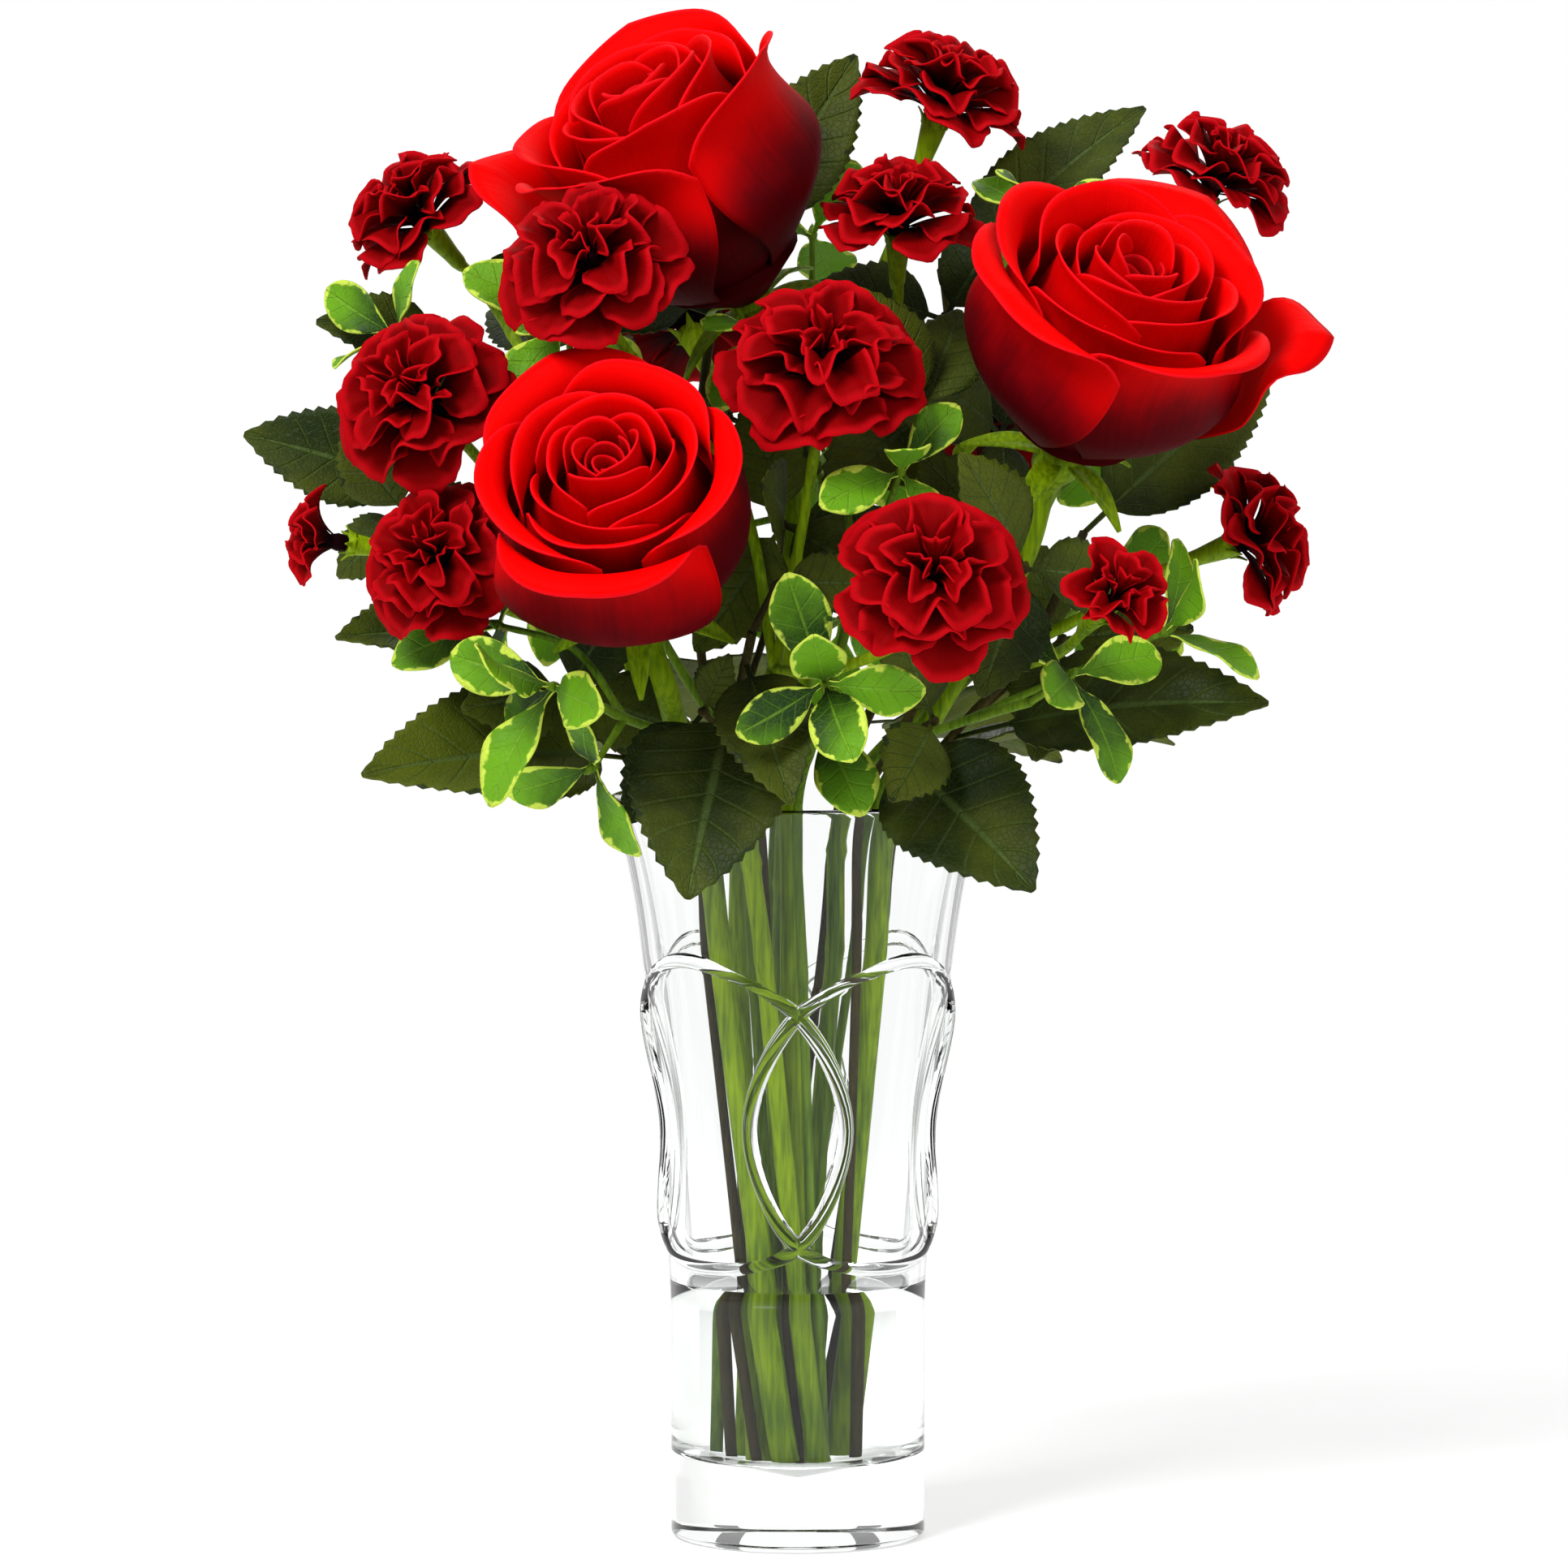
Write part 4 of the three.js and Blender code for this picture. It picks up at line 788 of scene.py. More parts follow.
@dataclass(frozen=True)
class PetalEffect:
    """A petal's skin: painted shade that deepens towards its root and darkens its outer side,
    fine ribs that fan from the root, and a paler lip that is partly its own colour and partly
    painted highlight.

    In an effect a name with `share` says how much that part counts, and a pair is where an easing
    starts and ends.
    """

    name: str = "petal_skin"
    ribs: Numbers = (34, 1.6, 1)
    patches: float = 70.0
    detail: float = 3.0
    shade_share: float = 0.22
    root_shade_share: float = 0.85
    patch_share: float = 0.4
    rib_share: float = 0.14
    tone_range: Numbers = (0.05, 0.97)
    tone_power: float = 1.3
    side_end: float = 1.02
    edge_and_highlight_range: Numbers = (0.45, 0.8)
    edge_and_highlight_strength: float = 0.7
    rib_relief: float = 0.7
    patch_relief: float = 0.3
    patch_roughness: float = 0.16

    def tone(self, w: EffectWiring, along: Socket, patches: Socket, ribs: Socket) -> Socket:
        """How much of its body colour a place has: less towards the root and on the outer side, as
        painted shade.

        Args:
            w: the effect's wiring.
            along: the share along the petal.
            patches: the soft patches.
            ribs: the ribs.

        Returns:
            The tone's socket.
        """
        outer = w.carried("drawn_side")
        # Painted shade: the body colour gives way to the dark root colour towards the root, and this reaches
        # further up on the petal's outer side.
        low = w.maths("MULTIPLY", outer, w.given["Outer Rise"])
        rise = w.span(along, low, w.maths("ADD", low, w.given["Root Depth"]))
        rise = w.maths("MULTIPLY", rise, self.root_shade_share)
        # The carried shade is a random tone, which for a rose's heart and inner petals is lowered as painted
        # shade.
        tone = w.maths("MULTIPLY_ADD", w.carried("shade"), self.shade_share, rise)
        tone = w.maths("ADD", tone, w.about_zero(patches, self.patch_share))
        tone = w.maths("ADD", tone, w.about_zero(ribs, self.rib_share))
        tone = w.maths("POWER", w.span(tone, *self.tone_range), self.tone_power)
        # Painted shade: the petal's outer side is darkened all over.
        outer_shade = w.maths("MULTIPLY", outer, w.given["Outer Dim"])
        return w.maths("MULTIPLY", tone, w.maths("SUBTRACT", 1.0, outer_shade))

    def wired(self) -> bpy.types.NodeTree:
        """Builds the effect.

        Returns:
            Its node group.
        """
        colours = ("Deep", "Body", "Edge")
        numbers = ("Edge Width", "Root Depth", "Outer Rise", "Outer Dim", "Roughness")
        w = EffectWiring(self.name, colours, numbers)
        uv, along, side = w.sheet_shares()
        ribs = w.cloud(w.stretched(uv, self.ribs), 1.0, self.detail)
        patches = w.cloud(w.place(), self.patches, self.detail)
        tone = self.tone(w, along, patches, ribs)
        # The dark colour that the body fades to is painted shade.
        body = w.blend(tone, w.given["Deep"], w.given["Body"])
        # The lip colour is partly the petal's own paler edge and partly painted highlight.
        reach = w.maths("SUBTRACT", 1.0, w.given["Edge Width"])
        lip = w.maths("MAXIMUM", w.span(along, reach, 1.0), w.span(side, reach, self.side_end))
        lip = w.maths("MULTIPLY", lip, w.span(along, *self.edge_and_highlight_range, 0.0, self.edge_and_highlight_strength))
        height = w.maths("MULTIPLY", patches, self.patch_relief)
        height = w.maths("MULTIPLY_ADD", ribs, self.rib_relief, height)
        dull = w.maths("MULTIPLY_ADD", patches, self.patch_roughness, w.given["Roughness"])
        return w.finished(w.blend(lip, body, w.given["Edge"]), height, dull)


@dataclass(frozen=True)
class LeafEffect:
    """A leaf's skin: a midrib, side veins that sweep forward, a fine net between, and a margin."""

    name: str = "leaf_skin"
    midrib: Numbers = (0.09, 0.02)
    sweep: float = 0.17
    sweep_power: float = 0.85
    vein_range: Numbers = (0.8, 1.0)
    vein_fade: Numbers = (1.0, 0.6, 0.2, 1.0)
    cells: float = 620.0
    net_range: Numbers = (0.12, 0.0)
    patches: float = 55.0
    patch_detail: float = 4.0
    patch_share: float = 1.2
    patch_start: float = -0.4
    shade_share: float = 0.6
    under_share: float = 0.4
    middle: float = 0.5
    tone_range: Numbers = (0.1, 0.9)
    vein_share: float = 0.6
    net_share: float = 0.2
    rags: float = 230.0
    raggedness: float = 1.1
    tip_margin: float = 0.8
    margin_blend: float = 0.12
    midrib_relief: float = -0.6
    vein_relief: float = -0.5
    net_relief: float = -0.18
    patch_relief: float = 0.35
    under_roughness: float = 0.2
    patch_roughness: float = 0.2

    def veins(self, w: EffectWiring, along: Socket, side: Socket) -> Socket:
        """The side veins.

        Args:
            w: the effect's wiring.
            along: the share along the leaf.
            side: the share from its middle to its sides.

        Returns:
            The veins' socket.
        """
        bow = w.maths("MULTIPLY", w.maths("POWER", side, self.sweep_power), self.sweep)
        swept = w.maths("SUBTRACT", along, bow)
        phase = w.maths("FRACT", w.maths("MULTIPLY", swept, w.given["Side Veins"]))
        ridge = w.maths("ABSOLUTE", w.maths("MULTIPLY_ADD", phase, 2.0, -1.0))
        return w.maths("MULTIPLY", w.span(ridge, *self.vein_range), w.span(side, *self.vein_fade))

    def net(self, w: EffectWiring, place: Socket) -> Socket:
        """The fine net between the veins."""
        cells = w.node("ShaderNodeTexVoronoi", feature="DISTANCE_TO_EDGE")
        w.fill(cells, {"Vector": place, "Scale": self.cells})
        return w.span(cells.outputs["Distance"], *self.net_range)

    def tone(self, w: EffectWiring, along: Socket, patches: Socket, under: Socket) -> Socket:
        """How light the blade is at a place.

        Args:
            w: the effect's wiring.
            along: the share along the leaf.
            patches: the soft patches.
            under: 1 on the leaf's underside.

        Returns:
            The tone's socket.
        """
        shade = w.maths("MULTIPLY", w.carried("shade"), self.shade_share)
        mottle = w.maths("MULTIPLY_ADD", patches, self.patch_share, self.patch_start)
        tone = w.maths("MULTIPLY_ADD", under, self.under_share, w.maths("ADD", shade, mottle))
        ahead = w.maths("SUBTRACT", along, self.middle)
        tone = w.maths("MULTIPLY_ADD", ahead, w.given["Tip Light"], tone)
        return w.span(tone, *self.tone_range)

    def margin(self, w: EffectWiring, along: Socket, side: Socket, place: Socket) -> Socket:
        """How much of the margin's colour a place has.

        Args:
            w: the effect's wiring.
            along: the share along the leaf.
            side: the share from its middle to its sides.
            place: the place on the leaf.

        Returns:
            The margin's socket.
        """
        ragged = w.about_zero(w.cloud(place, self.rags), self.raggedness)
        start = w.maths("ADD", w.maths("SUBTRACT", 1.0, w.given["Margin Width"]), ragged)
        rim = w.maths("MAXIMUM", side, w.span(along, self.tip_margin, 1.0))
        return w.span(rim, start, w.maths("ADD", start, self.margin_blend))

    def wired(self) -> bpy.types.NodeTree:
        """Builds the effect.

        Returns:
            Its node group.
        """
        colours = ("Blade", "Light", "Vein", "Margin")
        numbers = ("Margin Width", "Side Veins", "Vein Strength", "Tip Light", "Roughness")
        w = EffectWiring(self.name, colours, numbers)
        _, along, side = w.sheet_shares()
        place = w.place()
        midrib = w.span(side, *self.midrib)
        veins = self.veins(w, along, side)
        net = self.net(w, place)
        patches = w.cloud(place, self.patches, self.patch_detail)
        under = w.maths("SUBTRACT", 1.0, w.carried("drawn_side"))
        tone = self.tone(w, along, patches, under)
        blade = w.blend(tone, w.given["Blade"], w.given["Light"])
        lines = w.maths("MAXIMUM", midrib, w.maths("MULTIPLY", veins, self.vein_share))
        lines = w.maths("MAXIMUM", lines, w.maths("MULTIPLY", net, self.net_share))
        lines = w.maths("MULTIPLY", lines, w.given["Vein Strength"])
        body = w.blend(lines, blade, w.given["Vein"])
        colour = w.blend(self.margin(w, along, side, place), body, w.given["Margin"])
        height = w.maths("MULTIPLY", veins, self.vein_relief)
        height = w.maths("MULTIPLY_ADD", midrib, self.midrib_relief, height)
        height = w.maths("MULTIPLY_ADD", net, self.net_relief, height)
        height = w.maths("MULTIPLY_ADD", patches, self.patch_relief, height)
        dull = w.maths("MULTIPLY_ADD", under, self.under_roughness, w.given["Roughness"])
        dull = w.maths("MULTIPLY_ADD", patches, self.patch_roughness, dull)
        return w.finished(colour, height, dull)


@dataclass(frozen=True)
class StemEffect:
    """A stem's skin: fine fibres along it and softer patches."""

    name: str = "stem_skin"
    fibre_stretch: Numbers = (1.0, 1.0, 0.06)
    patches: float = 38.0
    patch_detail: float = 3.0
    fibre_share: float = 0.55
    patch_share: float = 0.6
    tone_range: Numbers = (0.3, 0.85)
    patch_roughness: float = 0.2

    def wired(self) -> bpy.types.NodeTree:
        """Builds the effect.

        Returns:
            Its node group.
        """
        w = EffectWiring(self.name, ("Dark", "Light"), ("Fibre Scale", "Roughness"))
        place = w.place()
        fibres = w.cloud(w.stretched(place, self.fibre_stretch), w.given["Fibre Scale"])
        patches = w.cloud(place, self.patches, self.patch_detail)
        tone = w.maths("MULTIPLY", patches, self.patch_share)
        tone = w.span(w.maths("MULTIPLY_ADD", fibres, self.fibre_share, tone), *self.tone_range)
        dull = w.maths("MULTIPLY_ADD", patches, self.patch_roughness, w.given["Roughness"])
        return w.finished(w.blend(tone, w.given["Dark"], w.given["Light"]), fibres, dull)


class Effect(Enum):
    """The skins that more than one finish uses."""

    PETAL = PetalEffect()
    LEAF = LeafEffect()
    STEM = StemEffect()


@cache
def effect_group(effect: Effect) -> bpy.types.NodeTree:
    """The node group of an effect, built the first time that it is asked for."""
    return effect.value.wired()


@dataclass(frozen=True)
class PlantFinish:
    """A finish that reads a shared effect.

    `colours` and `numbers` are the effect's own inputs by name. The rest are the surface's gloss and
    how deep its relief is, in metres.
    """

    name: str
    effect: Effect
    colours: dict[str, Colour]
    numbers: dict[str, float]
    specular: float
    relief: float

    @cached_property
    def material(self) -> bpy.types.Material:
        """The finish's material.

        Returns:
            The material, built the first time that it is asked for.
        """
        made = bpy.data.materials.new(self.name)
        made.use_nodes = True
        w = Wiring(made.node_tree)
        shader = made.node_tree.nodes["Principled BSDF"]
        group = w.node("ShaderNodeGroup", node_tree=effect_group(self.effect))
        skin = w.fill(group, {**self.colours, **self.numbers}).outputs
        w.fill(shader, {
            "Base Color": skin["Color"],
            "Roughness": skin["Roughness"],
            "Normal": w.bump(skin["Height"], 1.0, self.relief),
            "Specular IOR Level": self.specular,
        })
        return made


@dataclass(frozen=True)
class ClearFinish:
    """A clear solid or liquid with a faint waviness on its skin.

    `glare` is how much of its mirror reflection it keeps where it is seen face on.
    """

    name: str
    colour: Colour
    refraction: float
    wave_scale: float
    relief: float
    glare: float = 0.35
    wave_detail: float = 1.0
    wave_strength: float = 0.6

    @cached_property
    def material(self) -> bpy.types.Material:
        """The finish's material.

        Returns:
            The material, built the first time that it is asked for.
        """
        made = bpy.data.materials.new(self.name)
        made.use_nodes = True
        w = Wiring(made.node_tree)
        shader = made.node_tree.nodes["Principled BSDF"]
        waves = w.cloud(w.place(), self.wave_scale, self.wave_detail)
        w.fill(shader, {
            "Base Color": self.colour,
            "Roughness": 0.0,
            "IOR": self.refraction,
            "Transmission Weight": 1.0,
            "Specular Tint": (self.glare, self.glare, self.glare),
            "Normal": w.bump(waves, self.wave_strength, self.relief),
        })
        return made


# Petal finishes: the dark root colour and the dimmed outer side are painted shade, and the lip colour is
# partly the petal's own paler edge and partly painted highlight.
ROSE_PETAL = PlantFinish(
    "rose_petal", Effect.PETAL,
    {"Deep": (0.070, 0.0, 0.002), "Body": (0.92, 0.0, 0.0), "Edge": (0.93, 0.006, 0.014)},
    {"Edge Width": 0.02, "Root Depth": 0.58, "Outer Rise": 0.41, "Outer Dim": 0.26, "Roughness": 0.58},
    specular=0.035, relief=0.00035,
)
CARNATION_PETAL = PlantFinish(
    "carnation_petal", Effect.PETAL,
    {"Deep": (0.007, 0.0, 0.001), "Body": (0.26, 0.0, 0.001), "Edge": (0.68, 0.003, 0.009)},
    {"Edge Width": 0.13, "Root Depth": 1.0, "Outer Rise": 0.1, "Outer Dim": 0.0, "Roughness": 0.6},
    specular=0.035, relief=0.0004,
)
DARK_LEAF = PlantFinish(
    "dark_leaf", Effect.LEAF,
    {
        "Blade": (0.009, 0.020, 0.001), "Light": (0.085, 0.11, 0.005),
        "Vein": (0.075, 0.12, 0.025), "Margin": (0.02, 0.035, 0.006),
    },
    {"Margin Width": 0.0, "Side Veins": 8.0, "Vein Strength": 0.75, "Tip Light": 0.15, "Roughness": 0.4},
    specular=0.15, relief=0.0006,
)
CREAM_LEAF = PlantFinish(
    "cream_leaf", Effect.LEAF,
    {
        "Blade": (0.007, 0.034, 0.001), "Light": (0.14, 0.37, 0.004),
        "Vein": (0.20, 0.42, 0.02), "Margin": (0.62, 0.80, 0.08),
    },
    {"Margin Width": 0.17, "Side Veins": 6.0, "Vein Strength": 0.5, "Tip Light": 0.9, "Roughness": 0.42},
    specular=0.22, relief=0.0004,
)
GREEN_STEM = PlantFinish(
    "green_stem", Effect.STEM,
    {"Dark": (0.055, 0.13, 0.0), "Light": (0.34, 0.52, 0.0)},
    {"Fibre Scale": 900.0, "Roughness": 0.45},
    specular=0.15, relief=0.00015,
)
WOODY_BARK = PlantFinish(
    "woody_bark", Effect.STEM,
    {"Dark": (0.012, 0.008, 0.002), "Light": (0.065, 0.052, 0.008)},
    {"Fibre Scale": 1400.0, "Roughness": 0.6},
    specular=0.12, relief=0.0003,
)
LIME_BARK = PlantFinish(
    "lime_bark", Effect.STEM,
    {"Dark": (0.04, 0.10, 0.0), "Light": (0.19, 0.33, 0.01)},
    {"Fibre Scale": 1100.0, "Roughness": 0.5},
    specular=0.18, relief=0.0002,
)
PRESSED_GLASS = ClearFinish("pressed_glass", (0.985, 0.995, 0.99), 1.46, 26.0, 0.00012)
CLEAR_WATER = ClearFinish("clear_water", (0.985, 1.0, 0.99), 1.333, 14.0, 0.00003)


@dataclass(frozen=True)
class VaseForm:
    """The vase's sizes: its flared body, thick foot, dished floor and rib loops."""

    height: float = 202.0
    foot_radius: float = 34.6
    foot_rounding: float = 1.5
    flare_start: float = 60.0
    body_flare: float = 12.4
    body_bend: float = 1.4
    rim_flare: float = 5.0
    rim_bend: float = 9
    wall: float = 5.2
    thinning: float = 2.0
    wall_start: float = 20.0
    wall_rows: int = 52
    hollow_top: float = 200.0
    hollow_end: float = 74.0
    hollow_rows: int = 32
    floor: float = 22.0
    dish_radius: float = 20.0
    dish_depth: float = 5.0
    corner: float = 5.0
    bowl_rows: int = 8
    water_level: float = 70.0
    rim_rounding: float = 1.0
    rim_rows: int = 8
    rib_radius: float = 2.2
    rib_sunk: float = 0.3
    rib_loops: int = 4
    rib_route: Points = (
        (0, 146), (-45, 160), (-90, 146), (-110, 115), (-90, 83), (-45, 76), (0, 83), (20, 115),
    )

    def radius_at(self, z: float) -> float:
        """The outer radius at a height."""
        t = clamp((z - self.flare_start) / (self.height - self.flare_start))
        return self.foot_radius + self.body_flare * t**self.body_bend + self.rim_flare * t**self.rim_bend

    def hollow_at(self, z: float) -> float:
        """The hollow's radius at a height above its floor."""
        return self.radius_at(z) - self.wall + self.thinning * z / self.height

    def floor_at(self, r: float) -> float:
        """The dished floor's height at a distance from its middle."""
        return self.floor - self.dish_depth * (1 - clamp(r / self.dish_radius))

    def bowl(self, gap: float) -> list[tuple[float, float]]:
        """The hollow's section up to the water's level.

        Args:
            gap: how far it is moved inward; less than zero moves it into the glass.

        Returns:
            Corners as (radius, height), from the middle outward.
        """
        corner = self.floor + self.corner
        bend = self.corner - gap
        middle = self.hollow_at(corner) - self.corner
        shares = [k / self.bowl_rows for k in range(self.bowl_rows + 1)]
        reaches = [self.dish_radius * share for share in shares]
        section = [(r, self.floor_at(r) + gap) for r in reaches]
        for turn in (share * math.pi / 2 for share in shares):
            section.append((middle + bend * math.sin(turn), corner - bend * math.cos(turn)))
        heights = np.linspace(corner, self.water_level, self.bowl_rows)[1:]
        return section + [(self.hollow_at(z) - gap, float(z)) for z in heights]

    def hollow(self) -> list[tuple[float, float]]:
        """The hollow's section from the rim to the middle of the floor."""
        heights = np.linspace(self.hollow_top, self.hollow_end, self.hollow_rows)
        return [(self.hollow_at(z), float(z)) for z in heights] + self.bowl(0.0)[::-1]

    def outside(self) -> list[tuple[float, float]]:
        """The outer section.

        Returns:
            Corners as (radius, height), from the middle of the foot to the rim's inner edge.
        """
        edge, bend = self.foot_radius - self.foot_rounding, self.foot_rounding
        section = [(0.0, 0.0), (edge, 0.0)]
        for turn in (k * math.pi / self.rim_rows for k in range(1, self.rim_rows // 2 + 1)):
            section.append((edge + bend * math.sin(turn), bend - bend * math.cos(turn)))
        top = self.height - self.rim_rounding
        heights = np.linspace(self.wall_start, top, self.wall_rows)
        section += [(self.radius_at(z), float(z)) for z in heights]
        outer, inner = self.radius_at(top), self.hollow_at(top)
        middle, half = (outer + inner) / 2, (outer - inner) / 2
        for turn in (k * math.pi / self.rim_rows for k in range(1, self.rim_rows)):
            rise = self.rim_rounding * math.sin(turn)
            section.append((middle + half * math.cos(turn), top + rise))
        return section


@dataclass(frozen=True)
class StemBundle:
    """The stems' loose twisted bundle: slots are places at the neck."""

    form: VaseForm
    twist: float = math.radians(60)
    pinch: float = 0.45
    foot_lift: float = 0.35
    bend_share: float = 0.75

    def inside(self, slot: Numbers, radius: float) -> list[Vector]:
        """A stem's straight part in the vase.

        Args:
            slot: the stem's place at the neck.
            radius: its radius.

        Returns:
            Its foot, a place below the neck, and the neck.
        """
        c, s = self.pinch * math.cos(self.twist), self.pinch * math.sin(self.twist)
        foot = Vector((c * slot[0] - s * slot[1], s * slot[0] + c * slot[1], 0))
        foot.z = self.form.floor_at(foot.length) + CLEARANCE + self.foot_lift * radius
        neck = Vector((slot[0], slot[1], NECK_HEIGHT))
        return [foot.lerp(neck, t) for t in (0, self.bend_share, 1)]


@dataclass
class GlassVase(SubAssembly):
    """The clear vase with its crossing ribs."""

    form: VaseForm
    sides: int = 128
    rib_sides: int = 12
    rib_steps: int = 10
    sharp_angle: float = math.radians(32)

    def rib_line(self, turn: float) -> list[Vector]:
        """The middle line of a rib loop.

        Args:
            turn: the angle round the vase at which the loop starts.

        Returns:
            Places along it, with no place twice.
        """
        form = self.form
        corners = []
        for degrees, z in form.rib_route:
            angle = math.radians(degrees) + turn - math.pi / 2
            corners.append(around(form.radius_at(z) - form.rib_sunk, angle, z))
        return StemCurve(corners, closed=True).line(self.rib_steps)[:-1]

    def rib_point(self, line: Sequence[Vector], u: float, v: float) -> Vector:
        """A place on a rib's skin.

        Args:
            line: the rib's middle line.
            u: -1 to 1 round it.
            v: 0 to 1 along it.

        Returns:
            The place.
        """
        count = len(line)
        k = round(v * count) % count
        ahead = (line[(k + 1) % count] - line[k - 1]).normalized()
        out = Vector((line[k].x, line[k].y, 0)).normalized()
        side = ahead.cross(out).normalized()
        out = side.cross(ahead)
        angle = u * math.pi
        return line[k] + (out * math.cos(angle) - side * math.sin(angle)) * self.form.rib_radius

    def rib(self, turn: float) -> bpy.types.Object:
        """One rib loop as a closed ring of its own.

        Args:
            turn: the angle round the vase at which it starts.

        Returns:
            The loop's object.
        """
        skin = Skin()
        line = self.rib_line(turn)
        skin.close(skin.sheet(self.rib_sides, len(line), partial(self.rib_point, line)), 0)
        return skin.piece("rib", [])

    def build(self) -> bpy.types.Object:
        """Turns the body, joins the ribs to it and finishes it as glass.

        Returns:
            The piece.
        """
        skin = Skin()
        skin.turned(self.form.outside() + self.form.hollow(), self.sides, Matrix())
        body = skin.piece("clear_vase", [PRESSED_GLASS.material])
        loops = [self.rib(i / self.form.rib_loops * FULL_TURN) for i in range(self.form.rib_loops)]
        for loop in loops:
            joint = body.modifiers.new("rib", "BOOLEAN")
            joint.operation = "UNION"
            joint.solver = "MANIFOLD"
            joint.object = loop
        graph = bpy.context.evaluated_depsgraph_get()
        joined = bpy.data.meshes.new_from_object(body.evaluated_get(graph))
        body.modifiers.clear()
        body.data = joined
        for loop in loops:
            bpy.data.objects.remove(loop)
        joined.set_sharp_from_angle(angle=self.sharp_angle)
        return stand_for(body, "vase")


@dataclass
class StandingWater(SubAssembly):
    """The water in the vase, which laps a hair into the glass so that no air lies between.

    Near the glass its surface rises: `brim` gives places as (distance from the wall, depth).
    """

    form: VaseForm
    sides: int = 96
    lap: float = 0.08
    brim: Points = ((1.2, 0.05), (2.6, 0.5))
    middle_depth: float = 0.6

    def build(self) -> bpy.types.Object:
        """Turns the water and finishes it.

        Returns:
            The piece.
        """
        skin = Skin()
        level = self.form.water_level
        edge = self.form.hollow_at(level)
        surface = [(edge - inward, level - depth) for inward, depth in self.brim]
        surface.append((0.0, level - self.middle_depth))
        skin.turned(self.form.bowl(-self.lap) + surface, self.sides, Matrix())
        return stand_for(skin.piece("clear_water", [CLEAR_WATER.material]), "water")


@dataclass(frozen=True)
class RosePetal:
    """One petal of a rose: its place in the head, and how it differs from its neighbours.

    `order` is 0 at the heart and 1 outside, `lean` is how much wider its throat stands, `rise` how
    much taller it is, `breadth` its width beside its neighbours' and `shade` how light it is: a
    random tone, lowered for the inner petals as painted shade.
    """

    order: float
    turn: float
    wave: float
    lean: float
    rise: float
    breadth: float
    shade: float


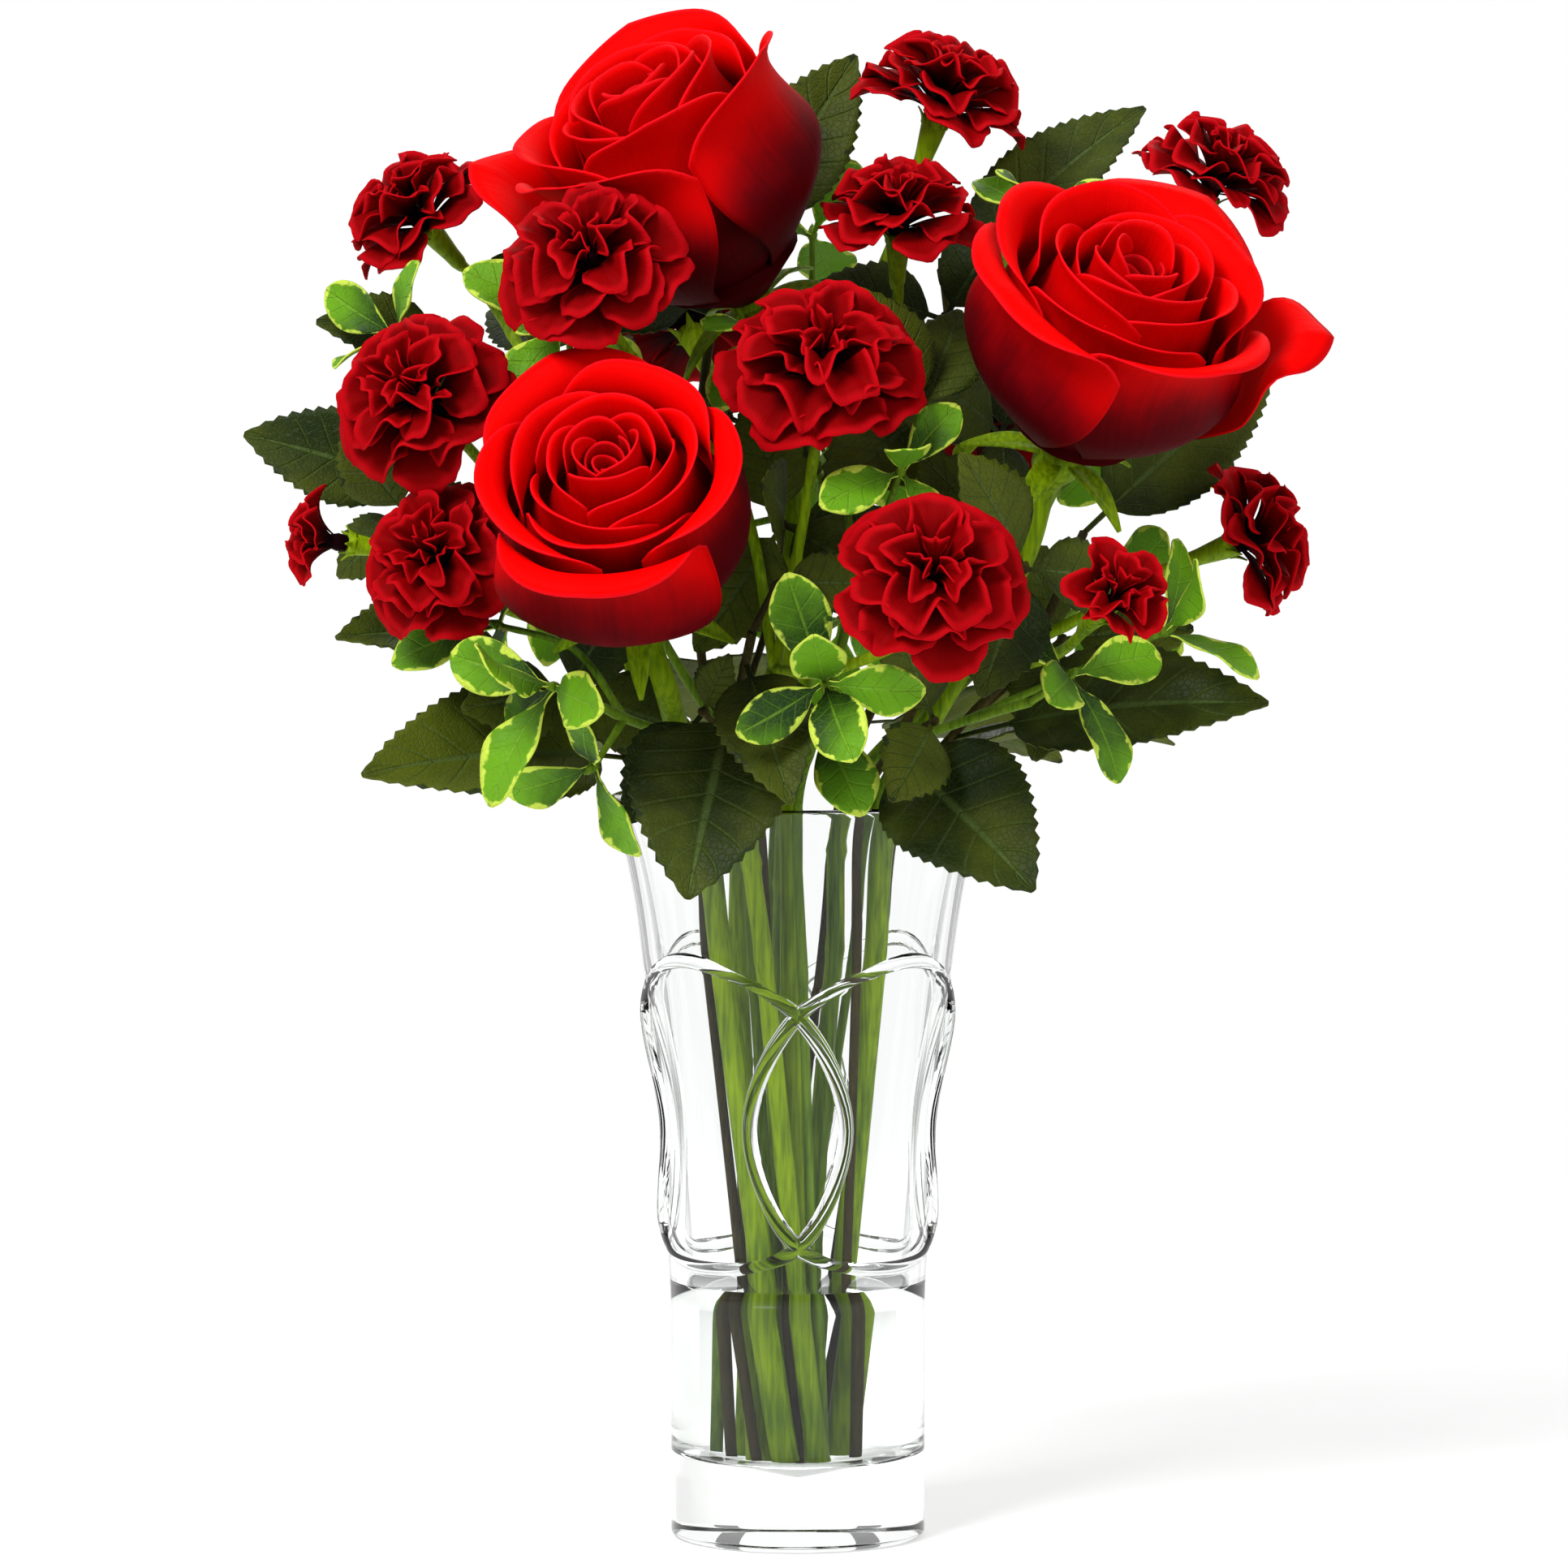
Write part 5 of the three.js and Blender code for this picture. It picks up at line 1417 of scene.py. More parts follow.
@dataclass
class RoseHead(SubAssembly):
    """A rose head: a scrolled heart, petals that close over it, and outer ones that roll back.

    Lengths are those of a head of scale 1, and a name that starts with `outer` is what comes on top
    for the outermost petal. Names that end in `share` or `start` are shares of a petal's length.
    """

    site: RoseSite
    height: float = 68.0
    outer_drop: float = 0.1
    upward_bend: float = 0.92
    belly: float = 37.0
    belly_bend: float = 0.85
    heart: float = 9.5
    throat: float = 6.0
    throat_bend: float = 1.1
    mouth: float = 4.6
    lip_overhang: float = 0.69
    lip_by_opening: float = 1.8
    lip_delay: float = 0.9
    petal_width: float = 68.0
    widest: float = 1.3
    petals: int = 17
    thickness: float = 0.5
    hidden_share: float = 0.012
    corner_drop: float = 0.1
    outer_corner_drop: float = 0.13
    root: float = 3
    outer_root: float = 2
    swell_share: float = 0.55
    claw: float = 0.3
    widening: float = 1.35
    overlap: float = 0.8
    corner_flare: float = 1.8
    waist: float = 0.36
    sag: float = 0.5
    lip_start: float = 0.9
    outer_lip_start: float = 0.12
    inner_lip: float = 5.0
    outer_lip: float = 10.0
    lip_point: float = 0.12
    inner_curl: float = 14.0
    outer_curl: float = 150.0
    middle_curl: float = 0.68
    corner_curl: float = 0.2
    ruffle: float = 0.9
    folds: Numbers = (2.7, 6.3)
    fine_fold: float = 0.35
    ruffle_start: float = 0.5
    least_ruffle: float = 0.3
    columns: int = 28
    rows: int = 22
    heart_columns: int = 72
    heart_rows: int = 14
    heart_turns: float = 2.6
    heart_start: float = 1.4
    heart_waist: float = 0.7
    heart_swell: float = 0.35
    heart_root: float = 6
    heart_drop: float = 13
    heart_climb: float = 4
    heart_wave: float = 1.2
    heart_flare: float = 1.1
    # Painted shade: the heart's scroll gets a low shade, which darkens it.
    heart_painted_shade: float = -1.6
    core: Points = ((0, CLEARANCE), (5.6, CLEARANCE), (17, 8.4), (0, 15))
    core_sides: int = 24
    turn_play: float = 0.3
    lean_range: Numbers = (-1.2, 1.4)
    rise_range: Numbers = (-4.0, 1.0)
    breadth_range: Numbers = (0.88, 1.12)
    # Painted shade: how much darker the inner petals are made.
    inner_painted_shade: float = 0.9
    loose_petal: RosePetal = RosePetal(1.03, 0.0, wave=1.0, lean=5.2, rise=-5.0, breadth=0.5, shade=0.9)
    seed: int = 11

    def lip(self, order: float) -> float:
        """How long the rolled lip of a petal is."""
        open_share = clamp(self.site.opening * self.lip_by_opening - self.lip_delay)
        return self.inner_lip + self.outer_lip * open_share * order**2

    def throat_at(self, order: float) -> float:
        """The radius at which a petal's lip starts."""
        outside = self.belly * self.site.opening + self.mouth - self.lip_overhang * self.lip(1.0)
        return self.throat + (outside - self.throat) * order**self.throat_bend

    def petal_point(self, petal: RosePetal, u: float, v: float) -> Vector:
        """A place on a petal, in the head's axes.

        Args:
            petal: the petal.
            u: -1 to 1 across it.
            v: 0 to 1 along the part of it that shows.

        Returns:
            The place.
        """
        t = petal.order
        side = abs(u)
        along = self.hidden_share + v * (1 - self.hidden_share)
        belly = self.heart + (self.belly - self.heart) * t**self.belly_bend
        throat = self.throat_at(t) + petal.lean
        height = self.height * (1 - self.outer_drop * t) + petal.rise
        half_angle = min(self.widest, self.petal_width / 2 / belly) * petal.breadth
        up = along * (1 - (self.corner_drop + self.outer_corner_drop * t) * side**3)
        root = self.root + self.outer_root * t
        lip_start = self.lip_start - self.outer_lip_start * t
        core = min(up, lip_start)
        share = clamp((up - lip_start) / (1 - lip_start))
        swell = quarter_wave(up / self.swell_share)
        spread = half_angle * (self.claw + (1 - self.claw) * quarter_wave(up * self.widening))
        closed = smooth((core - self.waist) / (lip_start - self.waist))
        r = root + (belly - root + self.overlap * u) * swell + (throat - belly) * closed
        r += self.corner_flare * t * t * smooth(side) ** 3 * swell
        z = height * core**self.upward_bend - self.sag * max(0.0, petal.lean) * closed
        curl = math.radians(self.inner_curl + self.outer_curl * self.site.roll_back * t**2)
        curl *= self.middle_curl + self.corner_curl * side
        bend = self.lip(t) / curl * (1 + self.lip_point * t * (1 - side) ** 3)
        coarse, fine = self.folds
        fold = math.sin(coarse * u + petal.wave)
        fold += self.fine_fold * math.sin(fine * u + 2 * petal.wave)
        ruffled = smooth((up - self.ruffle_start) / (1 - self.ruffle_start))
        r += bend * (1 - math.cos(curl * share))
        r += self.ruffle * fold * ruffled * (self.least_ruffle + t)
        z += bend * math.sin(curl * share) + self.ruffle * fold * share * t
        return around(r, petal.turn + u * spread, z)

    def heart_point(self, u: float, v: float) -> Vector:
        """A place on the heart, one strip wound up as a scroll.

        Args:
            u: -1 to 1 along the strip.
            v: 0 to 1 up it.

        Returns:
            The place, in the head's axes.
        """
        along = (u + 1) / 2
        angle = along * self.heart_turns * FULL_TURN
        swell = self.heart_waist + self.heart_swell * math.sin(math.pi * v**0.8)
        r = (self.heart_start + (self.heart - 2 * self.heart_start) * along) * swell
        top = self.height - self.heart_drop + self.heart_climb * along
        top += self.heart_wave * math.sin(angle * 1.3)
        flare = self.heart_flare * smooth((v - 0.85) / 0.15)
        return around(r + flare, angle, self.heart_root + (top - self.heart_root) * v)

    def grown(self) -> list[RosePetal]:
        """Draws the petals.

        Returns:
            The petals, from the heart outwards.
        """
        draw = random.Random(f"{self.seed}{self.site.name}")
        made = []
        for i in range(self.petals):
            order = (i + 1) / self.petals
            petal = RosePetal(
                order=order,
                turn=i * GOLDEN_TURN + draw.uniform(-self.turn_play, self.turn_play),
                wave=draw.uniform(0, 6.3),
                lean=draw.uniform(*self.lean_range) * order,
                rise=draw.uniform(*self.rise_range),
                breadth=draw.uniform(*self.breadth_range),
                # Painted shade: inner petals are darkened beyond their random tone.
                shade=draw.random() - self.inner_painted_shade * (1 - order) ** 2,
            )
            made.append(petal)
        if self.site.stray is not None:
            made.append(replace(self.loose_petal, turn=math.radians(self.site.stray)))
        return made

    def build(self) -> bpy.types.Object:
        """Builds the head and finishes it.

        Returns:
            The piece.
        """
        site = self.site
        skin = Skin()
        skin.sheet(self.heart_columns, self.heart_rows, self.heart_point, self.heart_painted_shade)
        for petal in self.grown():
            skin.sheet(self.columns, self.rows, partial(self.petal_point, petal), petal.shade)
        skin.thicken(self.thickness)
        skin.turned(self.core, self.core_sides, Matrix())
        skin.move(looking(site.base, site.axis, site.roll + site.facing) @ Matrix.Scale(site.scale, 4))
        piece = skin.piece(f"{site.name}_petals", [ROSE_PETAL.material])
        return stand_for(piece, f"{site.name}_head")


@dataclass
class RoseStem(SubAssembly):
    """A rose's stem with its cup and five narrow sepals.

    `approach` is how far before the head's base the stem runs straight at it.
    """

    site: RoseSite
    bundle: StemBundle
    radius: float = ROSE_STEM
    knob: float = 0.035
    knobs: float = 23
    sides: int = 16
    steps: int = 12
    approach: Numbers = (16, 4)
    thickness: float = 0.7
    sepal_columns: int = 6
    sepal_rows: int = 12
    sepal_start: float = 4
    sepal_length: float = 20
    sepal_width: float = 3.4
    sepal_trough: float = 0.8
    sepal_height: float = -2.4
    sepal_droop: float = 7
    cup_sides: int = 20
    cup: Points = (
        (0, -12), (3.2, -12), (4.4, -9.4), (5.9, -7), (6.3, -5), (6.1, -2.4), (5.2, 0), (0, 0),
    )

    def sepal_point(self, turn: float, u: float, v: float) -> Vector:
        """A place on a sepal, in the head's axes.

        Args:
            turn: the way that the sepal points.
            u: -1 to 1 across it.
            v: 0 to 1 along it.

        Returns:
            The place.
        """
        out = self.sepal_start + self.sepal_length * v
        across = self.sepal_width * u * math.sin(math.pi * (0.25 + 0.7 * v))
        lift = self.sepal_trough * abs(u) * math.sin(math.pi * v)
        x = out * math.cos(turn) - across * math.sin(turn)
        y = out * math.sin(turn) + across * math.cos(turn)
        return Vector((x, y, self.sepal_height - self.sepal_droop * v * v + lift))

    def radius_at(self, v: float) -> float:
        """The stem's radius at a share of its length."""
        return self.radius * (1.0 + self.knob * math.sin(self.knobs * v))

    def build(self) -> bpy.types.Object:
        """Builds the stem and finishes it.

        Returns:
            The piece.
        """
        site = self.site
        skin = Skin()
        for turn in SEPAL_TURNS:
            skin.sheet(self.sepal_columns, self.sepal_rows, partial(self.sepal_point, turn))
        skin.thicken(self.thickness)
        skin.turned(self.cup, self.cup_sides, Matrix())
        skin.move(looking(site.base, site.axis, site.roll) @ Matrix.Scale(site.scale, 4))
        ahead = Vector(site.axis).normalized()
        top = [Vector(site.base) - ahead * before for before in self.approach]
        points = [*self.bundle.inside(site.slot, self.radius), *site.route, *top]
        skin.tube(StemCurve(points).line(self.steps), self.radius_at, self.sides)
        piece = skin.piece(f"{site.name}_green", [GREEN_STEM.material])
        return stand_for(piece, f"{site.name}_stem")


@dataclass(frozen=True)
class PetalRing:
    """One ring of a carnation's petals.

    `lift` and `ruffle`, how deep they fold, are in degrees, and `half` is half a petal's angle.
    """

    height: float
    lift: float
    reach: float
    count: int
    layer: int
    half: float
    ruffle: float


@dataclass
class CarnationBloom(SubAssembly):
    """A carnation head: rings of fan-shaped petals with ruffled, toothed edges."""

    site: BloomSite
    radius: float = 24.0
    middle: float = 1.6
    thickness: float = 0.4
    columns: int = 26
    rows: int = 11
    teeth: int = 6
    tooth_depth: float = 0.05
    rounding: float = 0.26
    claw: float = 0.22
    cup: float = 16
    droop: float = 7
    sway: float = 0.05
    ring_turn: float = 0.62
    turn_play: float = 0.2
    ruffle_play: float = 0.25
    folds: Numbers = (1.15, 2.7)
    fine_fold: float = 0.4
    core_sides: int = 12
    core: Points = ((0, 0.5), (3.0, 0.5), (3.4, 4.0), (2.0, 9.0), (0, 10.0))
    seed: int = 5
    rings: Sequence[PetalRing] = (
        PetalRing(0.9, 8, 0.99, 5, 0, 0.68, 6),
        PetalRing(1.5, 17, 0.94, 5, 0, 0.70, 8),
        PetalRing(2.4, 30, 0.88, 5, 0, 0.74, 10),
        PetalRing(3.8, 45, 0.86, 5, 1, 0.84, 12),
        PetalRing(5.4, 62, 0.76, 4, 2, 0.9, 14),
        PetalRing(6.6, 78, 0.58, 3, 2, 0.9, 13),
    )

    def petal_point(
        self, ring: PetalRing, turn: float, wave: float, ruffle: float, u: float, v: float
    ) -> Vector:
        """A place on a petal, in the bloom's axes.

        Args:
            ring: the petal's ring.
            turn: the way that it faces.
            wave: where its ruffles start.
            ruffle: how deep they are, in degrees.
            u: -1 to 1 across it.
            v: 0 to 1 along it.

        Returns:
            The place.
        """
        tooth = abs(((u + 1) / 2 * self.teeth + wave) % 1 - 0.5)
        notch = self.tooth_depth * tooth * smooth((v - 0.75) / 0.25)
        along = v * (1 - self.rounding * abs(u) ** 2.6 - notch)
        r = self.radius * ring.reach * along
        half = ring.half * (self.claw + (1 - self.claw) * along**0.8)
        coarse, fine = self.folds
        fold = math.sin(math.pi * (coarse * u + wave))
        fold += self.fine_fold * math.sin(math.pi * (fine * u - wave))
        lift = ring.lift + self.cup * (1 - along) - self.droop * along**3 + ruffle * fold * along**2
        elevation = math.radians(lift)
        angle = turn + u * half + self.sway * math.sin(5 * u + wave) * along
        out = self.middle + r * math.cos(elevation)
        return around(out, angle, ring.height + r * math.sin(elevation))

    def build(self) -> bpy.types.Object:
        """Builds the bloom and finishes it.

        Returns:
            The piece.
        """
        site = self.site
        draw = random.Random(f"{self.seed}{site.name}")
        skin = Skin()
        start = draw.uniform(0, 6.3)
        for n, ring in enumerate(self.rings):
            if ring.layer not in site.rings:
                continue
            for k in range(ring.count):
                turn = start + self.ring_turn * n + k / ring.count * FULL_TURN
                turn += draw.uniform(-self.turn_play, self.turn_play)
                wave = draw.uniform(0, 2)
                ruffle = ring.ruffle * draw.uniform(1 - self.ruffle_play, 1 + self.ruffle_play)
                place = partial(self.petal_point, ring, turn, wave, ruffle)
                skin.sheet(self.columns, self.rows, place, draw.random())
        skin.thicken(self.thickness)
        skin.turned(self.core, self.core_sides, Matrix())
        skin.move(looking(site.base, site.axis) @ Matrix.Scale(site.scale, 4))
        piece = skin.piece(f"{site.name}_petals", [CARNATION_PETAL.material])
        return stand_for(piece, site.name)


@dataclass
class CarnationSpray(SubAssembly):
    """A carnation spray's trunk, jointed stalks and the green tube under each bloom.

    `approach` is how far before the bloom's base the stalk runs straight at it.
    """

    site: CarnationSite
    bundle: StemBundle
    joints: float = 5.5
    joint_swell: float = 0.22
    stalk_joints: float = 0.6
    trunk_sides: int = 14
    trunk_steps: int = 14
    stalk_sides: int = 10
    stalk_steps: int = 9
    approach: Numbers = (CALYX_LENGTH + 8, 4)
    smallest_calyx: float = 0.8
    calyx_sides: int = 20
    calyx: Points = (
        (0, -CALYX_LENGTH - 1), (1.7, -CALYX_LENGTH - 1), (2.4, -CALYX_LENGTH + 1.5),
        (2.6, -CALYX_LENGTH + 5), (3.1, -7), (3.7, -2), (3.9, 0), (0, 0),
    )
    tooth_columns: int = 3
    tooth_rows: int = 5
    tooth_thickness: float = 0.4
    tooth_radius: float = 3.9
    tooth_flare: float = 2.6
    tooth_width: float = 1.9
    tooth_taper: float = 0.92
    tooth_root: float = -2.5
    tooth_height: float = 4.2

    def swollen(self, radius: float, joints: float, v: float) -> float:
        """The radius of a trunk or stalk, which is thicker near its joints.

        Args:
            radius: its plain radius.
            joints: how many joints it has.
            v: the share of its length.

        Returns:
            Its radius there.
        """
        near = max(0.0, math.cos(FULL_TURN * joints * v)) ** 24
        return radius * (1 + self.joint_swell * near)

    def calyx_axes(self, bloom: BloomSite) -> Matrix:
        """The axes of the tube under a bloom."""
        size = max(bloom.scale, self.smallest_calyx)
        return looking(bloom.base, bloom.axis) @ Matrix.Scale(size, 4)

    def tooth_point(self, bloom: BloomSite, turn: float, u: float, v: float) -> Vector:
        """A place on one of the teeth at the top of a bloom's tube.

        Args:
            bloom: the bloom.
            turn: the tooth's angle round the tube.
            u: -1 to 1 across it.
            v: 0 to 1 along it.

        Returns:
            The place.
        """
        r = self.tooth_radius + self.tooth_flare * v * v
        across = self.tooth_width * u * (1 - self.tooth_taper * v)
        place = around(r, turn + across / r, self.tooth_root + self.tooth_height * v)
        return self.calyx_axes(bloom) @ place

    def stalk(self, bloom: BloomSite) -> list[Vector]:
        """The middle line of a bloom's stalk.

        Args:
            bloom: the bloom.

        Returns:
            Places along it.
        """
        ahead = Vector(bloom.axis).normalized()
        top = [Vector(bloom.base) - ahead * before for before in self.approach]
        return StemCurve([self.site.trunk[-1], *bloom.via, *top]).line(self.stalk_steps)

    def build(self) -> bpy.types.Object:
        """Builds the spray and finishes it.

        Returns:
            The piece.
        """
        site = self.site
        skin = Skin()
        for bloom in site.blooms:
            for turn in SEPAL_TURNS:
                place = partial(self.tooth_point, bloom, turn)
                skin.sheet(self.tooth_columns, self.tooth_rows, place)
        skin.thicken(self.tooth_thickness)
        trunk = [*self.bundle.inside(site.slot, SPRAY_STEM), *site.trunk]
        trunk_radius = partial(self.swollen, SPRAY_STEM, self.joints)
        skin.tube(StemCurve(trunk).line(self.trunk_steps), trunk_radius, self.trunk_sides)
        stalk_radius = partial(self.swollen, STALK, self.joints * self.stalk_joints)
        for bloom in site.blooms:
            skin.tube(self.stalk(bloom), stalk_radius, self.stalk_sides)
            skin.turned(self.calyx, self.calyx_sides, self.calyx_axes(bloom))
        piece = skin.piece(f"{site.name}_green", [GREEN_STEM.material])
        return stand_for(piece, site.name)


@dataclass(frozen=True)
class LeafForm:
    """A leaf's shape.

    `stalk` is the share of its length that is stalk, `full` its width by its length in a whorl,
    `bulge` the size of its outline, `skew` how far from the root it is widest, and `blunt` how
    round its ends are, less being rounder.
    """

    stalk: float
    arch: float
    fold: float
    full: float
    bulge: float
    skew: float
    blunt: float
    width: float = 0.0

    def outline(self, b: float) -> float:
        """The share of its full width at a share of its blade."""
        return self.bulge * max(0.0, math.sin(math.pi * b**self.skew)) ** self.blunt


LEAF_FORMS = {
    Foliage.DARK: LeafForm(0.14, 0.06, math.radians(16), full=0.6, bulge=1.03, skew=0.72, blunt=0.8),
    Foliage.CREAM: LeafForm(0.12, 0.07, 0.0, full=0.5, bulge=1.0, skew=1.35, blunt=0.62),
}


@dataclass
class Leaf:
    """A leaf in place: from its root towards its tip, with its face towards `face`."""

    root: Vector
    tip: Vector
    face: Vector
    form: LeafForm
    along: Vector = field(init=False)
    across: Vector = field(init=False)
    up: Vector = field(init=False)
    length: float = field(init=False)

    least_half_width = 0.7
    tooth = 0.55
    notch = -0.35
    tooth_slant = 0.9
    full_tooth_width = 8
    quilt = 0.022
    quilt_rows = 8
    quilt_sweep = 0.17
    toothed_wave = 0.035
    plain_wave = 0.13
    keel = 0.16
    probe_rows = (0.28, 0.38, 0.48, 0.58, 0.68, 0.78, 0.88, 0.95)
    probe_columns = (-0.9, -0.45, 0, 0.45, 0.9)

    def __post_init__(self) -> None:
        """Works out the leaf's own axes."""
        reach = self.tip - self.root
        self.length = reach.length
        self.along = reach.normalized()
        self.across = self.along.cross(self.face).normalized()
        self.up = self.across.cross(self.along).normalized()

    def blade_share(self, v: float) -> float:
        """The share of its blade at a share of its length."""
        return clamp((v - self.form.stalk) / (1 - self.form.stalk))

    def half_width(self, v: float) -> float:
        """Half the leaf's width at a share of its length."""
        outline = self.form.outline(self.blade_share(v))
        return max(self.least_half_width, self.form.width / 2 * outline)

    def point(self, u: float, v: float) -> Vector:
        """A place on the plain leaf.

        Args:
            u: -1 to 1 across it.
            v: 0 to 1 along it.

        Returns:
            The place.
        """
        half = self.half_width(v)
        bow = self.form.arch * self.length * 4 * v * (1 - v)
        fold = self.form.fold
        return (
            self.root
            + self.along * (v * self.length)
            + self.across * (u * half * math.cos(fold))
            + self.up * (bow + abs(u) * half * math.sin(fold))
        )

    def probes(self) -> np.ndarray:
        """Places that stand for the leaf when others look for room."""
        return np.array([self.point(u, v)[:] for v in self.probe_rows for u in self.probe_columns])

    def toothed_point(self, rows: int, phase: float, u: float, v: float) -> Vector:
        """A place on the leaf with a toothed edge and a blade puffed between its veins.

        Args:
            rows: the sheet's rows, which its teeth follow.
            phase: where its waves start.
            u: -1 to 1 across it.
            v: 0 to 1 along it.

        Returns:
            The place.
        """
        half = self.half_width(v)
        side = abs(u)
        has_teeth = 0.04 < self.blade_share(v) < 0.985
        edge = smooth((side - 0.7) / 0.3) * has_teeth
        size = self.tooth if round(v * rows) % 2 else self.notch
        tooth = size * edge * min(1.0, half / self.full_tooth_width)
        ridges = math.sin(FULL_TURN * self.quilt_rows * (v - self.quilt_sweep * side))
        quilt = self.quilt * half * ridges * math.sin(math.pi * side)
        wave = math.sin(7.5 * v + phase + (1.3 if u > 0 else 0)) * side**1.6
        place = self.point(u, v) + self.across * (tooth * (1 if u > 0 else -1))
        place += self.along * (tooth * self.tooth_slant)
        return place + self.up * (quilt + self.toothed_wave * half * wave)

    def waved_point(self, phase: float, u: float, v: float) -> Vector:
        """A place on the leaf with a waved edge and a keeled blade.

        Args:
            phase: where its waves start.
            u: -1 to 1 across it.
            v: 0 to 1 along it.

        Returns:
            The place.
        """
        half = self.half_width(v)
        side = abs(u)
        wave = math.sin(9.5 * v + phase + (1.9 if u > 0 else 0)) * side**1.4
        lift = self.plain_wave * half * wave + self.keel * half * side**1.5
        return self.point(u, v) + self.up * (lift * smooth(self.blade_share(v) * 5))


class Room:
    """The balls that leaves keep clear of."""

    probe_radius = 2.6
    stalk_radius = 1.6
    stalk_shares = (0.1, 0.16, 0.22)

    def __init__(self) -> None:
        """Starts with nothing in the way."""
        self.balls = np.zeros((0, 4))

    def take(self, places: Points, radius: float) -> None:
        """Adds a ball of one radius at each place."""
        rows = np.array([tuple(place)[:3] for place in places], float)
        self.balls = np.vstack([self.balls, np.column_stack([rows, np.full(len(rows), radius)])])

    def near(self, centre: Vector, reach: float) -> np.ndarray:
        """The balls that a leaf of this reach could touch."""
        gaps = np.linalg.norm(self.balls[:, :3] - np.array(centre[:]), axis=1)
        return self.balls[gaps < reach + self.balls[:, 3] + 3 * self.probe_radius]

    def is_clear(self, probes: np.ndarray, balls: np.ndarray) -> bool:
        """True if no probe comes within the clearance of a ball."""
        gaps = np.linalg.norm(probes[:, None, :] - balls[None, :, :3], axis=2)
        return bool((gaps > self.probe_radius + balls[:, 3] + CLEARANCE).all())

    def settle(self, root: Vector, tip: Vector, face: Vector, form: LeafForm) -> Leaf | None:
        """Finds the first bend of a leaf that stands clear, and takes its room.

        Args:
            root: where it starts.
            tip: where its tip would be.
            face: the way that it faces.
            form: its shape.

        Returns:
            The leaf in place, or None where there is no room.
        """
        wanted = Leaf(root, tip, face, form)
        balls = self.near(root, wanted.length + form.width)
        for share in BEND_SHARES:
            for swing, tilt in BENDS:
                swung = Matrix.Rotation(math.radians(swing), 3, wanted.up) @ ((tip - root) * share)
                bent = Matrix.Rotation(math.radians(tilt), 3, wanted.across) @ swung + root
                leaf = Leaf(root, bent, face, replace(form, width=form.width * share))
                probes = leaf.probes()
                if self.is_clear(probes, balls):
                    self.take(probes, self.probe_radius)
                    self.take([leaf.point(0, v) for v in self.stalk_shares], self.stalk_radius)
                    return leaf
        return None


